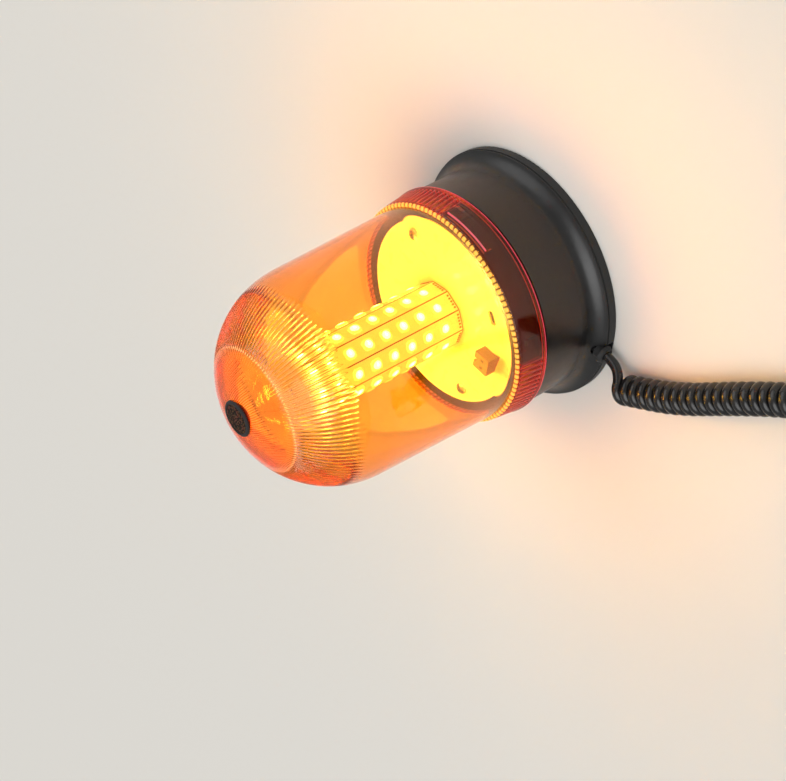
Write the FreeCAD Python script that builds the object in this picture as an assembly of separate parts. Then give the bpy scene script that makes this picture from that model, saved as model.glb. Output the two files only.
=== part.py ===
import FreeCAD, Part
import math
import os

# LED beacon: a magnetic foot, a black housing, an amber twist-off lens, a column of LED
# strips on a round board, and a curly lead with a 12 V accessory plug.
# Millimetres. +Z is the lamp's axis, the foot stands on z = 0, the lead leaves along -X.

V = FreeCAD.Vector
UP = V(0, 0, 1)
ORIGIN = V(0, 0, 0)

# ---- lens ----
DOME_FOOT_R = 54.9     # the dome's wall where it leaves the skirt
DOME_TAPER = 2.1       # the wall leans in by this up to the crown
CROWN_DROP = 20.0      # top of the LED strips above the crown's foot
CROWN_OFFSET = 2.5     # centre of the crown's arc, from the axis
LENS_T = 2.2
SKIRT_STEP = 2.1       # skirt's top edge outside the dome
SKIRT_FLARE = 2.2      # bead at the skirt's foot outside its top edge
SKIRT_H = 15.8
SEAL_T = 0.8
SEAL_W = 3.4
SEAT_GAP = 0.3         # rotating lens to what it seats on
RIB_COUNT = 120        # meridional ribs on the crown
RIB_FROM, RIB_TO = 21.0, 57.0   # their span on the crown's arc, in degrees
RIB_DEPTH = 0.0125     # valley to ridge, as a share of the radius
RIB_STATIONS = 5
REED_COUNT = 120       # grip reeds round the skirt
REED_DEPTH = 0.55
REED_FOOT = 2.6        # smooth bead below the reeds
WINDOW_FROM, WINDOW_TO = -168.0, -81.0   # smooth stretch of the skirt
PAD_FROM, PAD_TO = -110.0, -82.5         # raised blank pad on it
PAD_RAISE = 0.4
BAYONET_COUNT = 3
BAYONET_WIDTH = 16.0   # degrees
BAYONET_TURN = 28.0    # degrees from locked to free
BAYONET_H = 2.6
BAYONET_GAP = 0.4
BAYONET_AT = 35.0      # first tab
BAYONET_RISE = 6.5     # underside of a lug above the skirt's foot
VENT_R = 8.9
VENT_STEM_R = 6.0
VENT_H = 2.6

# ---- foot and housing ----
LEDGE_Z = 38.0         # where the lens seal lies
NECK_STEP = 1.4        # neck inside the skirt's bead
FLANGE_W = 7.2         # foot outside the neck
FOOT_H = 4.5           # height of the foot's lip
FOOT_LIP = 1.7         # thickness of its lip
PAD_T = 2.0            # rubber under the magnet
GROOVE_T = 0.7         # depth of the rings in the pad
HOUSING_RIM = 1.1      # height of the housing's rim above the lip
NECK_Z = 17.0          # where the flare meets the neck
WALL = 2.8
FLOOR_Z = 12.0         # underside of the housing's floor
FLOOR_T = 2.6
SPIGOT_T = 2.6         # collar that enters the lens
LUG_ROOM = 2.4         # between collar and skirt
SHELF_W = 4.0          # shelf under the round board
WEB_COUNT = 12         # webs under the flare
WEB_T = 1.8

# ---- magnet ----
MAGNET_ROOM = 19.0     # from the foot's edge in to the magnet's cup
CUP_T = 2.0
MAGNET_T = 7.4
MAGNET_HOLE_R = 12.0
MAGNET_GAP = 0.4
BOLT_R = 2.4           # M5 screw in the middle
FIT = 0.05             # radial clearance of screws and pins
POLE = 0.25            # flat on the axis where a rounded top ends

# ---- round board and LED column ----
BOARD_DROP = 2.5       # its underside below the skirt's top edge
BOARD_MARGIN = 2.5     # its edge inside the collar's bore
BOARD_T = 1.6
BOARD_SCREW_INSET = 7.3
BOARD_SCREW_AT = (-52.7, 124.9)
PILOT_R = 1.5          # M3 screws
HEAD_R = 2.9
HEAD_H = 2.0
STRIP_COUNT = 10
STRIP_APOTHEM = 16.0   # axis to the front of a strip
STRIP_T = 1.0
STRIP_W = 9.7
STRIP_H = 88.0
STRIP_TURN = -8.5      # azimuth of the first strip
LED_ROWS = 8
LED_SIZE = 5.0
LED_T = 1.0
LED_FIRST = 10.4       # first LED above the board
LED_PITCH = 10.33
CORE_T = 1.5
CORE_GAP = 0.1
CAP_T = 1.6
HEADER_INSET = 11.3
HEADER_L, HEADER_W, HEADER_H = 9.0, 9.6, 6.0

# ---- lead ----
LEAD_D = 5.0
COIL_D = 15.4
LEAD_Z = 6.0           # height at the housing
GLAND_R = 3.6
GLAND_L = 3.6           # inside the housing's wall
GLAND_COLLAR = 2.0

# ---- plug ----
PLUG_REACH, PLUG_Y = 233.4, -26.0   # from the gland's mouth; across it
GRIP_R = 13.0
GRIP_L = 44.0
GRIP_TAIL_R = 8.6
PLUG_WALL = 2.0
SHOULDER_R = 10.45     # full-round end of the barrel, next to the grip
SHOULDER_L = 8.0
BARREL_R = 10.1
BARREL_L = 36.0
NECK_PLUG_R = 7.6
NECK_PLUG_L = 8.0
NOSE_R = 9.4
NOSE_T = 1.6
PIN_R = 3.2
PIN_OUT = 6.0
PIN_TRAVEL = 3.0
FUSE_R = 3.0
FUSE_L = 26.0
BORE_R = 3.4
CONTACT_L = 17.0
CONTACT_W = 4.4
CONTACT_OUT = 0.9
ROCKER_L, ROCKER_W = 13.0, 8.6
ROCKER_X = -14.0
ROCKER_TILT = 9.0
BUTTON_X = -30.0
BUTTON_R = 4.0
BUTTON_TRAVEL = 0.8
MOVING_GAP = 0.3
BOOT_L = 20.0
BOOT_GROOVE_COUNT = 4

# ---- derived ----
DOME_TOP_R = DOME_FOOT_R - DOME_TAPER
CROWN_R = DOME_TOP_R - CROWN_OFFSET
SKIRT_TOP_R = DOME_FOOT_R + SKIRT_STEP
SKIRT_R = SKIRT_TOP_R + SKIRT_FLARE
SKIRT_INNER_R = SKIRT_TOP_R - LENS_T
SPIGOT_R = SKIRT_INNER_R - LUG_ROOM
BOARD_R = SPIGOT_R - SPIGOT_T - BOARD_MARGIN
BOARD_SCREW_R = BOARD_R - BOARD_SCREW_INSET
HEADER_X = HEADER_INSET - BOARD_R
NECK_R = SKIRT_R - NECK_STEP
FOOT_R = NECK_R + FLANGE_W
CUP_R = FOOT_R - MAGNET_ROOM
FLOOR_TOP = FLOOR_Z + FLOOR_T
SKIRT_Z = LEDGE_Z + SEAL_T + SEAT_GAP
SKIRT_TOP = SKIRT_Z + SKIRT_H
BOARD_Z = SKIRT_TOP - BOARD_DROP
BOARD_TOP = BOARD_Z + BOARD_T
SPIGOT_TOP = BOARD_TOP + 0.2
DOME_SPRING_Z = BOARD_TOP + STRIP_H - CROWN_DROP
GLAND_OUT_X = -(FOOT_R + GLAND_COLLAR - 0.4)   # where the lead leaves the gland
PLUG_X = GLAND_OUT_X - PLUG_REACH
GRIP_Z = GRIP_R


def polar(radius, degrees, z=0.0):
    a = math.radians(degrees)
    return V(radius * math.cos(a), radius * math.sin(a), z)


def wire(outline, place):
    """Closed wire; an item (middle, end) of two points is an arc to end."""
    edges = []
    last = None
    for item in outline + [outline[0]]:
        curved = isinstance(item[0], tuple)
        end = place(item[1] if curved else item)
        if last is not None and last.distanceToPoint(end) > 1e-6:
            if curved:
                edges.append(Part.Arc(last, place(item[0]), end).toShape())
            else:
                edges.append(Part.makeLine(last, end))
        last = end
    return Part.Wire(edges)


def turned(outline):
    """Solid of revolution about Z of a closed outline of (r, z) points."""
    face = Part.Face(wire(outline, lambda p: V(p[0], 0, p[1])))
    return face.revolve(ORIGIN, UP, 360)


def rod(radius, foot, top, centre=ORIGIN):
    return Part.makeCylinder(radius, top - foot, V(centre.x, centre.y, foot))


def block(x0, x1, y0, y1, z0, z1):
    return Part.makeBox(x1 - x0, y1 - y0, z1 - z0, V(x0, y0, z0))


def sector(inner, outer, foot, top, start, end):
    """Piece of a ring between two azimuths."""
    ring = Part.makeCylinder(outer, top - foot, V(0, 0, foot), UP, end - start)
    ring = ring.cut(rod(inner, foot - 1, top + 1))
    ring.rotate(ORIGIN, UP, start)
    return ring


def joined(shapes):
    first, rest = shapes[0], shapes[1:]
    return first.multiFuse(rest).removeSplitter() if rest else first


def group(shapes):
    return Part.makeCompound(shapes)


def turned_copy(shape, degrees):
    copy = shape.copy()
    copy.rotate(ORIGIN, UP, degrees)
    return copy


def moved(shape, offset):
    copy = shape.copy()
    copy.translate(offset)
    return copy


def prism(points, height):
    """Upright prism on a closed polygon of Vectors."""
    return Part.Face(Part.makePolygon(points + points[:1])).extrude(V(0, 0, height))


def polygon(count, apothem, z, turn):
    radius = apothem / math.cos(math.pi / count)
    return [polar(radius, turn + 360.0 * (k + 0.5) / count, z) for k in range(count)]


def star(count, ridge, valley, z, start=0.0, steps=None):
    """Points that alternate between two radii, two to each step."""
    steps = count if steps is None else steps
    points = []
    for k in range(steps):
        points.append(polar(ridge, start + 360.0 * k / count, z))
        points.append(polar(valley, start + 360.0 * (k + 0.5) / count, z))
    return points


def cable(points, radius, name):
    """Tube along straight runs joined by tangent arcs; prints its bend radii."""
    corners = [V(*p) for p in points]
    edges = []
    radii = []
    last = corners[0]
    for before, here, after in zip(corners, corners[1:], corners[2:]):
        back, ahead = (before - here), (after - here)
        shorter = min(back.Length, ahead.Length)
        half_turn = (math.pi - back.getAngle(ahead)) / 2
        reach = 0.45 * shorter
        bend = reach / math.tan(half_turn)
        radii.append(bend)
        start = here + back * (reach / back.Length)
        end = here + ahead * (reach / ahead.Length)
        inward = (back.normalize() + ahead.normalize()).normalize()
        middle = here + inward * (bend / math.cos(half_turn) - bend)
        edges.append(Part.makeLine(last, start))
        edges.append(Part.Arc(start, middle, end).toShape())
        last = end
    edges.append(Part.makeLine(last, corners[-1]))
    path = Part.Wire(edges)
    section = Part.Wire(Part.makeCircle(radius, corners[0], corners[1] - corners[0]))
    tube = path.makePipeShell([section], True, False)
    share = tube.Volume / (math.pi * radius ** 2 * path.Length)
    print(name, "length %.1f" % path.Length, "volume/section %.4f" % share,
          "radii", " ".join("%.1f" % r for r in radii))
    return tube


def screw(head_r, head_h, shank_r, shank_l, place):
    """Pan head with a cross recess on z = 0, shank downwards."""
    dome = turned([(0, 0), (head_r, 0), (head_r, head_h * 0.55),
                   ((head_r * 0.62, head_h * 0.93), (POLE, head_h)), (0, head_h)])
    slot_l, slot_w = head_r * 1.1, head_r * 0.26
    for long, wide in ((slot_l, slot_w), (slot_w, slot_l)):
        dome = dome.cut(block(-long / 2, long / 2, -wide / 2, wide / 2,
                              head_h * 0.45, head_h + 1))
    return moved(dome.fuse(rod(shank_r, -shank_l, 0)), place)


# ---------------------------------------------------------------- foot and housing
def rubber_foot():
    inner = FOOT_R - FOOT_LIP
    groove = GROOVE_T
    foot = turned([(0, 0), (FOOT_R * 0.30, 0), (FOOT_R * 0.32, groove),
                   (FOOT_R * 0.52, groove), (FOOT_R * 0.54, 0),
                   (FOOT_R * 0.80, 0), (FOOT_R * 0.82, groove),
                   (FOOT_R * 0.93, groove), (FOOT_R * 0.95, 0), (FOOT_R - 0.8, 0),
                   ((FOOT_R - 0.23, 0.23), (FOOT_R, 0.8)), (FOOT_R, FOOT_H),
                   (inner, FOOT_H), (inner, PAD_T), (0, PAD_T)])
    notch = GLAND_R + 1.7
    return foot.cut(block(-FOOT_R - 1, -inner + 1, -notch, notch, 0.9, FOOT_H + 1))


def flare(offset):
    """Concave curve from the housing's rim up to its neck, moved in by offset."""
    foot = (FOOT_R - 0.4 - offset, FOOT_H + HOUSING_RIM)
    top = (NECK_R - offset, NECK_Z)
    middle = (foot[0] - (foot[0] - top[0]) * 0.76, foot[1] + (top[1] - foot[1]) * 0.36)
    return foot, middle, top


def bayonet_lug(start):
    """Lug on the spigot with its two end stops, for a lens tab from start."""
    z = SKIRT_Z + BAYONET_RISE
    out = SKIRT_INNER_R - BAYONET_GAP
    root = SPIGOT_R - 0.5
    end = start + BAYONET_WIDTH
    gap = 0.6
    foot = LEDGE_Z + 3.2
    lug = sector(root, out, z, z + BAYONET_H, start - gap - 3, end)
    stop = sector(root, out, foot, z, start - gap - 3, start - gap)
    far = end + BAYONET_TURN + gap
    return lug.fuse(stop).fuse(sector(root, out, foot, z + BAYONET_H, far, far + 3))


def base_housing():
    foot, middle, top = flare(0)
    in_foot, in_middle, in_top = flare(WALL)
    bore = SPIGOT_R - SPIGOT_T
    inner = FOOT_R - FOOT_LIP
    shell = turned([
        (0, FLOOR_Z), (in_middle[0], FLOOR_Z), (in_middle[0] + 0.9, FLOOR_Z - 2.4),
        (in_foot[0] - 1.0, foot[1] - 1.5), (in_foot[0] - 1.0, PAD_T), (inner, PAD_T),
        (inner, FOOT_H), (FOOT_R - 0.4, FOOT_H), foot, (middle, top), (NECK_R, LEDGE_Z),
        (SPIGOT_R, LEDGE_Z), (SPIGOT_R, SPIGOT_TOP), (BOARD_R + 0.2, SPIGOT_TOP),
        (BOARD_R + 0.2, BOARD_Z), (BOARD_R - SHELF_W, BOARD_Z),
        (BOARD_R - SHELF_W, BOARD_Z - 2), (bore, BOARD_Z - 8), (bore, LEDGE_Z - 2),
        (NECK_R - WALL, LEDGE_Z - 5), (NECK_R - WALL, FLOOR_TOP), (0, FLOOR_TOP)])
    web = block(CUP_R + 0.8, in_middle[0] + 1.5, -WEB_T / 2, WEB_T / 2, PAD_T, FLOOR_Z + 1)
    pitch = 360.0 / WEB_COUNT
    added = [turned_copy(web, pitch * (k + 0.5)) for k in range(WEB_COUNT)]
    for angle in BOARD_SCREW_AT:
        added.append(rod(4.2, FLOOR_TOP - 1, BOARD_Z, polar(BOARD_SCREW_R, angle)))
    for side in (-1, 1):
        added.append(rod(2.8, FLOOR_TOP - 1, CLAMP_Z, V(CLAMP_X, side * CLAMP_SPREAD, 0)))
    added.append(block(CLAMP_X - 1.2, CLAMP_X + 1.2, -CLAMP_SPREAD, CLAMP_SPREAD,
                       FLOOR_TOP - 1, CABLE_Z - LEAD_D / 2))
    for k in range(BAYONET_COUNT):
        added.append(bayonet_lug(BAYONET_AT + 360.0 * k / BAYONET_COUNT))
    body = joined([shell] + added)
    holes = [rod(BOLT_R + FIT, FLOOR_Z - 1, FLOOR_TOP + 1)]
    for angle in BOARD_SCREW_AT:
        holes.append(rod(PILOT_R, BOARD_Z - 13, BOARD_Z + 1, polar(BOARD_SCREW_R, angle)))
    for side in (-1, 1):
        holes.append(rod(PILOT_R * 0.7, CLAMP_Z - 8, CLAMP_Z + 1,
                         V(CLAMP_X, side * CLAMP_SPREAD, 0)))
    holes.append(Part.makeCylinder(GLAND_R, 20, V(-FOOT_R - 5, 0, LEAD_Z), V(1, 0, 0)))
    holes.append(rod(LEAD_D / 2 + 1.0, FLOOR_Z - 1, FLOOR_TOP + 1, V(RISER_X, 0, 0)))
    return body.cut(group(holes))


def steel_cup():
    return turned([(BOLT_R + FIT, FLOOR_Z - CUP_T), (CUP_R - CUP_T, FLOOR_Z - CUP_T),
                   (CUP_R - CUP_T, PAD_T), (CUP_R, PAD_T), (CUP_R, FLOOR_Z - 1),
                   ((CUP_R - 0.3, FLOOR_Z - 0.3), (CUP_R - 1, FLOOR_Z)),
                   (BOLT_R + FIT, FLOOR_Z)])


def magnet_ring():
    top = FLOOR_Z - CUP_T
    outer = CUP_R - CUP_T - MAGNET_GAP
    return turned([(MAGNET_HOLE_R, top - MAGNET_T), (outer, top - MAGNET_T),
                   (outer, top), (MAGNET_HOLE_R, top)])


def magnet_screw():
    body = screw(4.8, 2.9, BOLT_R, FLOOR_TOP + 6.5 - FLOOR_Z + CUP_T, ORIGIN)
    body.rotate(ORIGIN, V(1, 0, 0), 180)
    return moved(body, V(0, 0, FLOOR_Z - CUP_T))


def magnet_nut():
    washer = rod(5.2, FLOOR_TOP, FLOOR_TOP + 1).cut(rod(BOLT_R + FIT, 0, 99))
    nut = prism(polygon(6, 4.0, FLOOR_TOP + 1, 0), 4.0).cut(rod(BOLT_R + FIT, 0, 99))
    return group([washer, nut])


# ---------------------------------------------------------------- lens
def crown(radius, degrees):
    """Point of the crown's arc at an angle from its foot."""
    a = math.radians(degrees)
    return (CROWN_OFFSET + radius * math.cos(a), DOME_SPRING_Z + radius * math.sin(a))


def crown_end(radius, hole):
    """Angle at which the crown's arc meets a hole on the axis."""
    return math.degrees(math.acos((hole - CROWN_OFFSET) / radius))


def lens_seal():
    return turned([(SPIGOT_R + 0.4, LEDGE_Z), (SPIGOT_R + 0.4 + SEAL_W, LEDGE_Z),
                   (SPIGOT_R + 0.4 + SEAL_W, LEDGE_Z + SEAL_T),
                   (SPIGOT_R + 0.4, LEDGE_Z + SEAL_T)])


def rib_cutter():
    """Ring that leaves the crown's ribs standing, one flat facet to each flank."""
    wires = []
    for k in range(RIB_STATIONS + 1):
        angle = RIB_FROM + (RIB_TO - RIB_FROM) * k / RIB_STATIONS
        r, z = crown(CROWN_R - 0.05, angle)
        points = star(RIB_COUNT, r, r * (1 - RIB_DEPTH), z)
        wires.append(Part.makePolygon(points + points[:1]))
    ribs = Part.makeLoft(wires, True, True)
    low, high = crown(CROWN_R - 0.05, RIB_FROM)[1], crown(CROWN_R - 0.05, RIB_TO)[1]
    return rod(DOME_TOP_R + 4, low, high).cut(ribs)


def reed_cutter():
    """Everything outside the reeds of the skirt, leaving out its smooth window."""
    low = SKIRT_Z + REED_FOOT
    high = SKIRT_TOP + 3
    slope = (SKIRT_R - 0.5 - SKIRT_TOP_R) / (SKIRT_TOP - low)
    steps = round((360 - (WINDOW_TO - WINDOW_FROM)) * REED_COUNT / 360)
    wires = []
    for z in (low, high):
        r = SKIRT_R - 0.5 - slope * (z - low)
        points = star(REED_COUNT, r + 0.02, r - REED_DEPTH, z, WINDOW_TO, steps)
        points.append(polar(r + 0.02, WINDOW_TO + 360.0 * steps / REED_COUNT, z))
        wide = SKIRT_R + 6
        end = WINDOW_TO + 360.0 * steps / REED_COUNT
        points += [polar(wide, end - (end - WINDOW_TO) * j / 9.0, z) for j in range(10)]
        wires.append(Part.makePolygon(points + points[:1]))
    return Part.makeLoft(wires, True, True)


def lens_tab(start):
    z = SKIRT_Z + BAYONET_RISE - BAYONET_GAP
    return sector(SPIGOT_R + BAYONET_GAP, SKIRT_INNER_R + 0.6, z - BAYONET_H, z,
                  start, start + BAYONET_WIDTH)


def lens():
    inner_r = CROWN_R - LENS_T
    low = SKIRT_Z + REED_FOOT
    out_end = crown_end(CROWN_R, VENT_STEM_R)
    in_end = crown_end(inner_r, VENT_STEM_R)
    dome_foot_z = SKIRT_TOP + 2.6
    shell = turned([
        (SKIRT_INNER_R, SKIRT_Z), (SKIRT_R - 1.0, SKIRT_Z),
        ((SKIRT_R, SKIRT_Z + 1.1), (SKIRT_R - 0.5, low)),
        (SKIRT_TOP_R, SKIRT_TOP), (SKIRT_TOP_R - 0.8, SKIRT_TOP + 1.0),
        (DOME_FOOT_R + 0.4, SKIRT_TOP + 1.4),
        ((DOME_FOOT_R + 0.06, SKIRT_TOP + 1.8), (DOME_FOOT_R, dome_foot_z)),
        (DOME_TOP_R, DOME_SPRING_Z),
        (crown(CROWN_R, out_end / 2), crown(CROWN_R, out_end)),
        crown(inner_r, in_end),
        (crown(inner_r, in_end / 2), crown(inner_r, 0)),
        (DOME_FOOT_R - LENS_T, dome_foot_z + 1.0),
        (SKIRT_INNER_R, SKIRT_TOP - 1.4)])
    body = shell.cut(rib_cutter()).cut(reed_cutter())
    r = SKIRT_TOP_R + 0.9
    pad = sector(SKIRT_TOP_R - 1.2, r + PAD_RAISE, SKIRT_TOP - 9.5, SKIRT_TOP - 3.2,
                 PAD_FROM, PAD_TO)
    pitch = 360.0 / BAYONET_COUNT
    tabs = [lens_tab(BAYONET_AT + pitch * k) for k in range(BAYONET_COUNT)]
    return joined([body, pad] + tabs)


def vent_plug():
    seat = crown(CROWN_R, crown_end(CROWN_R, VENT_STEM_R))[1]
    under = crown(CROWN_R - LENS_T, crown_end(CROWN_R - LENS_T, VENT_STEM_R))[1]
    recess = VENT_R * 0.66
    return turned([(0, under - 2.0), (VENT_STEM_R - 0.6, under - 2.0),
                   (VENT_STEM_R + 0.9, under - 0.6), (VENT_STEM_R, under - 0.2),
                   (VENT_STEM_R, seat), (VENT_R, seat), (VENT_R, seat + VENT_H * 0.4),
                   ((VENT_R - 0.7, seat + VENT_H * 0.82), (recess, seat + VENT_H)),
                   (recess, seat + VENT_H - 1.2), (0, seat + VENT_H - 1.2)])


def vent_foam():
    seat = crown(CROWN_R, crown_end(CROWN_R, VENT_STEM_R))[1]
    top = seat + VENT_H
    outer = VENT_R * 0.66 - FIT
    return turned([(0, top - 1.2), (outer, top - 1.2), (outer, top - 0.1),
                   ((outer / 2, top + 0.25), (POLE, top + 0.3)), (0, top + 0.3)])


# ---------------------------------------------------------------- board and column
def main_board():
    rim = 1.0
    board = turned([(0, BOARD_Z), (BOARD_R, BOARD_Z), (BOARD_R, BOARD_TOP + 0.3),
                    (BOARD_R - rim, BOARD_TOP + 0.3), (BOARD_R - rim, BOARD_TOP),
                    (0, BOARD_TOP)])
    holes = [rod(PILOT_R + 0.2, BOARD_Z - 1, BOARD_TOP + 1, polar(BOARD_SCREW_R, a))
             for a in BOARD_SCREW_AT]
    slot_at, slot_r = -144.8, BOARD_R - 9.0
    for shift in (-3.5, 3.5):
        holes.append(rod(1.4, BOARD_Z - 1, BOARD_TOP + 1, polar(slot_r, slot_at + shift)))
    holes.append(sector(slot_r - 1.4, slot_r + 1.4, BOARD_Z - 1, BOARD_TOP + 1,
                        slot_at - 3.5, slot_at + 3.5))
    holes.append(rod(0.7, BOARD_Z - 1, BOARD_TOP + 1, polar(BOARD_R * 0.7, -24)))
    for side in (-1, 1):
        holes.append(rod(1.0 + FIT, BOARD_Z - 1, BOARD_TOP + 1, V(0, side * 9.0, 0)))
        holes.append(rod(0.6 + FIT, BOARD_Z - 1, BOARD_TOP + 1,
                         V(HEADER_X, side * HEADER_W / 4, 0)))
    return board.cut(group([holes[0]] + holes[1:3])).cut(joined(holes[3:5])) \
        .cut(group(holes[5:]))


def board_screws():
    return group([screw(HEAD_R, HEAD_H, PILOT_R - FIT, 11.0,
                        polar(BOARD_SCREW_R, a, BOARD_TOP)) for a in BOARD_SCREW_AT])


def tower_core():
    outer = STRIP_APOTHEM - STRIP_T - CORE_GAP
    turn = STRIP_TURN
    tube = prism(polygon(STRIP_COUNT, outer, BOARD_TOP, turn), STRIP_H)
    hollow = prism(polygon(STRIP_COUNT, outer - CORE_T, BOARD_TOP + 3, turn), STRIP_H)
    pilots = [rod(1.0, BOARD_TOP - 1, BOARD_TOP + 2.6, V(0, s * 9.0, 0)) for s in (-1, 1)]
    return tube.cut(hollow).cut(group(pilots))


def led_strip(index):
    strip = block(STRIP_APOTHEM - STRIP_T, STRIP_APOTHEM, -STRIP_W / 2, STRIP_W / 2,
                  BOARD_TOP, BOARD_TOP + STRIP_H)
    return turned_copy(strip, STRIP_TURN + 360.0 * index / STRIP_COUNT)


def strip_leds():
    chips = []
    half = LED_SIZE / 2
    for k in range(STRIP_COUNT):
        for row in range(LED_ROWS):
            z = BOARD_TOP + LED_FIRST + LED_PITCH * row
            chip = block(STRIP_APOTHEM, STRIP_APOTHEM + LED_T, -half, half,
                         z - half, z + half)
            chips.append(turned_copy(chip, STRIP_TURN + 360.0 * k / STRIP_COUNT))
    return group(chips)


def tower_cap():
    z = BOARD_TOP + STRIP_H
    plate = prism(polygon(STRIP_COUNT, STRIP_APOTHEM + 0.3, z, STRIP_TURN), CAP_T)
    return plate.cut(rod(3.0, z - 1, z + CAP_T + 1))


def tower_screws():
    screws = []
    for side in (-1, 1):
        body = screw(2.2, 1.5, 1.0 - FIT / 2, BOARD_T + 2.2, ORIGIN)
        body.rotate(ORIGIN, V(1, 0, 0), 180)
        screws.append(moved(body, V(0, side * 9.0, BOARD_Z)))
    return group(screws)


def header_housing():
    x0, x1 = HEADER_X - HEADER_L / 2, HEADER_X + HEADER_L / 2
    body = block(x0, x1, -HEADER_W / 2, HEADER_W / 2, BOARD_TOP, BOARD_TOP + HEADER_H)
    for side in (-1, 1):
        y = side * HEADER_W / 4
        body = body.cut(block(x0 + 2.5, x1 + 1, y - 1.5, y + 1.5,
                              BOARD_TOP + 1.6, BOARD_TOP + HEADER_H - 1.4))
        body = body.cut(block(HEADER_X - 0.4, HEADER_X + 0.4, y - 0.4, y + 0.4,
                              BOARD_TOP - 1, BOARD_TOP + 2))
    key = block(x1 - 1.6, x1 + 1, -1.0, 1.0, BOARD_TOP + HEADER_H - 1.4,
                BOARD_TOP + HEADER_H + 1)
    return body.cut(key)


def header_pins():
    pins = []
    for side in (-1, 1):
        y = side * HEADER_W / 4
        z = BOARD_TOP + HEADER_H / 2
        reach = block(HEADER_X - 2.0, HEADER_X + 3.4, y - 0.4, y + 0.4, z - 0.4, z + 0.4)
        pins.append(reach.fuse(block(HEADER_X - 0.4, HEADER_X + 0.4, y - 0.4, y + 0.4,
                                     BOARD_Z - 1.4, z)))
    return group(pins)


def storage_capacitor():
    r, length = 5.0, 13.0
    top = BOARD_Z
    can = turned([(0, top - length), (r - 0.8, top - length),
                  ((r - 0.2, top - length + 0.2), (r, top - length + 0.9)), (r, top - 2.6),
                  (r - 0.5, top - 2.1), (r, top - 1.6), (r, top), (0, top)])
    return moved(can, V(17, 21, 0))


def power_choke():
    core = turned([(0, BOARD_Z - 7), (4.6, BOARD_Z - 7), (4.6, BOARD_Z - 5.8),
                   (3.0, BOARD_Z - 5.8), (3.0, BOARD_Z - 1.2), (4.6, BOARD_Z - 1.2),
                   (4.6, BOARD_Z), (0, BOARD_Z)])
    return moved(core, V(24, 5, 0))


def power_transistors():
    chips = []
    for angle in (-80, -110, 70, 100):
        chip = block(22, 28.2, -3.3, 3.3, BOARD_Z - 2.4, BOARD_Z)
        tab = block(28.2, 29.6, -2.6, 2.6, BOARD_Z - 0.5, BOARD_Z)
        chips.append(turned_copy(chip.fuse(tab), angle))
    return group(chips)


def controller_chip():
    body = block(-22, -12, -21, -17, BOARD_Z - 1.7, BOARD_Z - 0.2)
    legs = []
    for k in range(4):
        x = -20.8 + 2.54 * k
        for y0, y1 in ((-22.1, -20.9), (-17.1, -15.9)):
            legs.append(block(x - 0.25, x + 0.25, y0, y1, BOARD_Z - 1.0, BOARD_Z))
    return joined([body] + legs)


# ---------------------------------------------------------------- lead
RISER_X = -(CUP_R + LEAD_D / 2 + 2.6)
CABLE_Z = FLOOR_TOP + 9.0
CLAMP_X = RISER_X + 12.5
CLAMP_SPREAD = LEAD_D / 2 + 4.5
CLAMP_Z = CABLE_Z + 0.6
CABLE_END_X = CLAMP_X + 7.0


def cord_gland():
    x0 = -(FOOT_R - 0.4)
    body = Part.makeCylinder(GLAND_R, GLAND_L, V(x0, 0, LEAD_Z), V(1, 0, 0))
    collar = Part.makeCone(GLAND_R + 0.2, GLAND_R + 1.3, x0 - GLAND_OUT_X,
                           V(GLAND_OUT_X, 0, LEAD_Z), V(1, 0, 0))
    bore = Part.makeCylinder(LEAD_D / 2, 20, V(GLAND_OUT_X - 5, 0, LEAD_Z), V(1, 0, 0))
    return body.fuse(collar).cut(bore)


def inner_cable():
    rise = (LEAD_Z + FLOOR_Z) / 2 + 2.0
    points = [(GLAND_OUT_X, 0, LEAD_Z), (RISER_X - 5.5, 0, LEAD_Z),
              (RISER_X, 0, rise), (RISER_X, 0, CABLE_Z - 5.5),
              (RISER_X + 5.5, 0, CABLE_Z), (CABLE_END_X, 0, CABLE_Z)]
    return cable(points, LEAD_D / 2, "inner_cable")


def cable_clamp():
    half = CLAMP_SPREAD + 3.0
    bar = block(CLAMP_X - 3, CLAMP_X + 3, -half, half, CLAMP_Z, CLAMP_Z + 3.4)
    bore = Part.makeCylinder(LEAD_D / 2, 20, V(CLAMP_X - 10, 0, CABLE_Z), V(1, 0, 0))
    holes = [rod(PILOT_R * 0.7 + 0.15, CLAMP_Z - 1, CLAMP_Z + 9,
                 V(CLAMP_X, s * CLAMP_SPREAD, 0)) for s in (-1, 1)]
    return bar.cut(group([bore] + holes))


def clamp_screws():
    return group([screw(2.1, 1.5, PILOT_R * 0.7 - FIT, 10.0,
                        V(CLAMP_X, s * CLAMP_SPREAD, CLAMP_Z + 3.4)) for s in (-1, 1)])


def supply_wires():
    wires = []
    for side, name in ((-1, "supply_wire_a"), (1, "supply_wire_b")):
        y = side * 1.3
        points = [(CABLE_END_X, y, CABLE_Z), (CABLE_END_X + 6, y, CABLE_Z),
                  (CABLE_END_X + 9, y * 2, CABLE_Z + 8),
                  (CABLE_END_X + 5, y * 3, BOARD_Z - 10), (CABLE_END_X + 5, y * 3, BOARD_Z)]
        wires.append(cable(points, 0.8, name))
    return group(wires)


def from_gland(points):
    """Route points from their distances to the gland's mouth."""
    return [(GLAND_OUT_X + x, y, z) for x, y, z in points]


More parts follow.
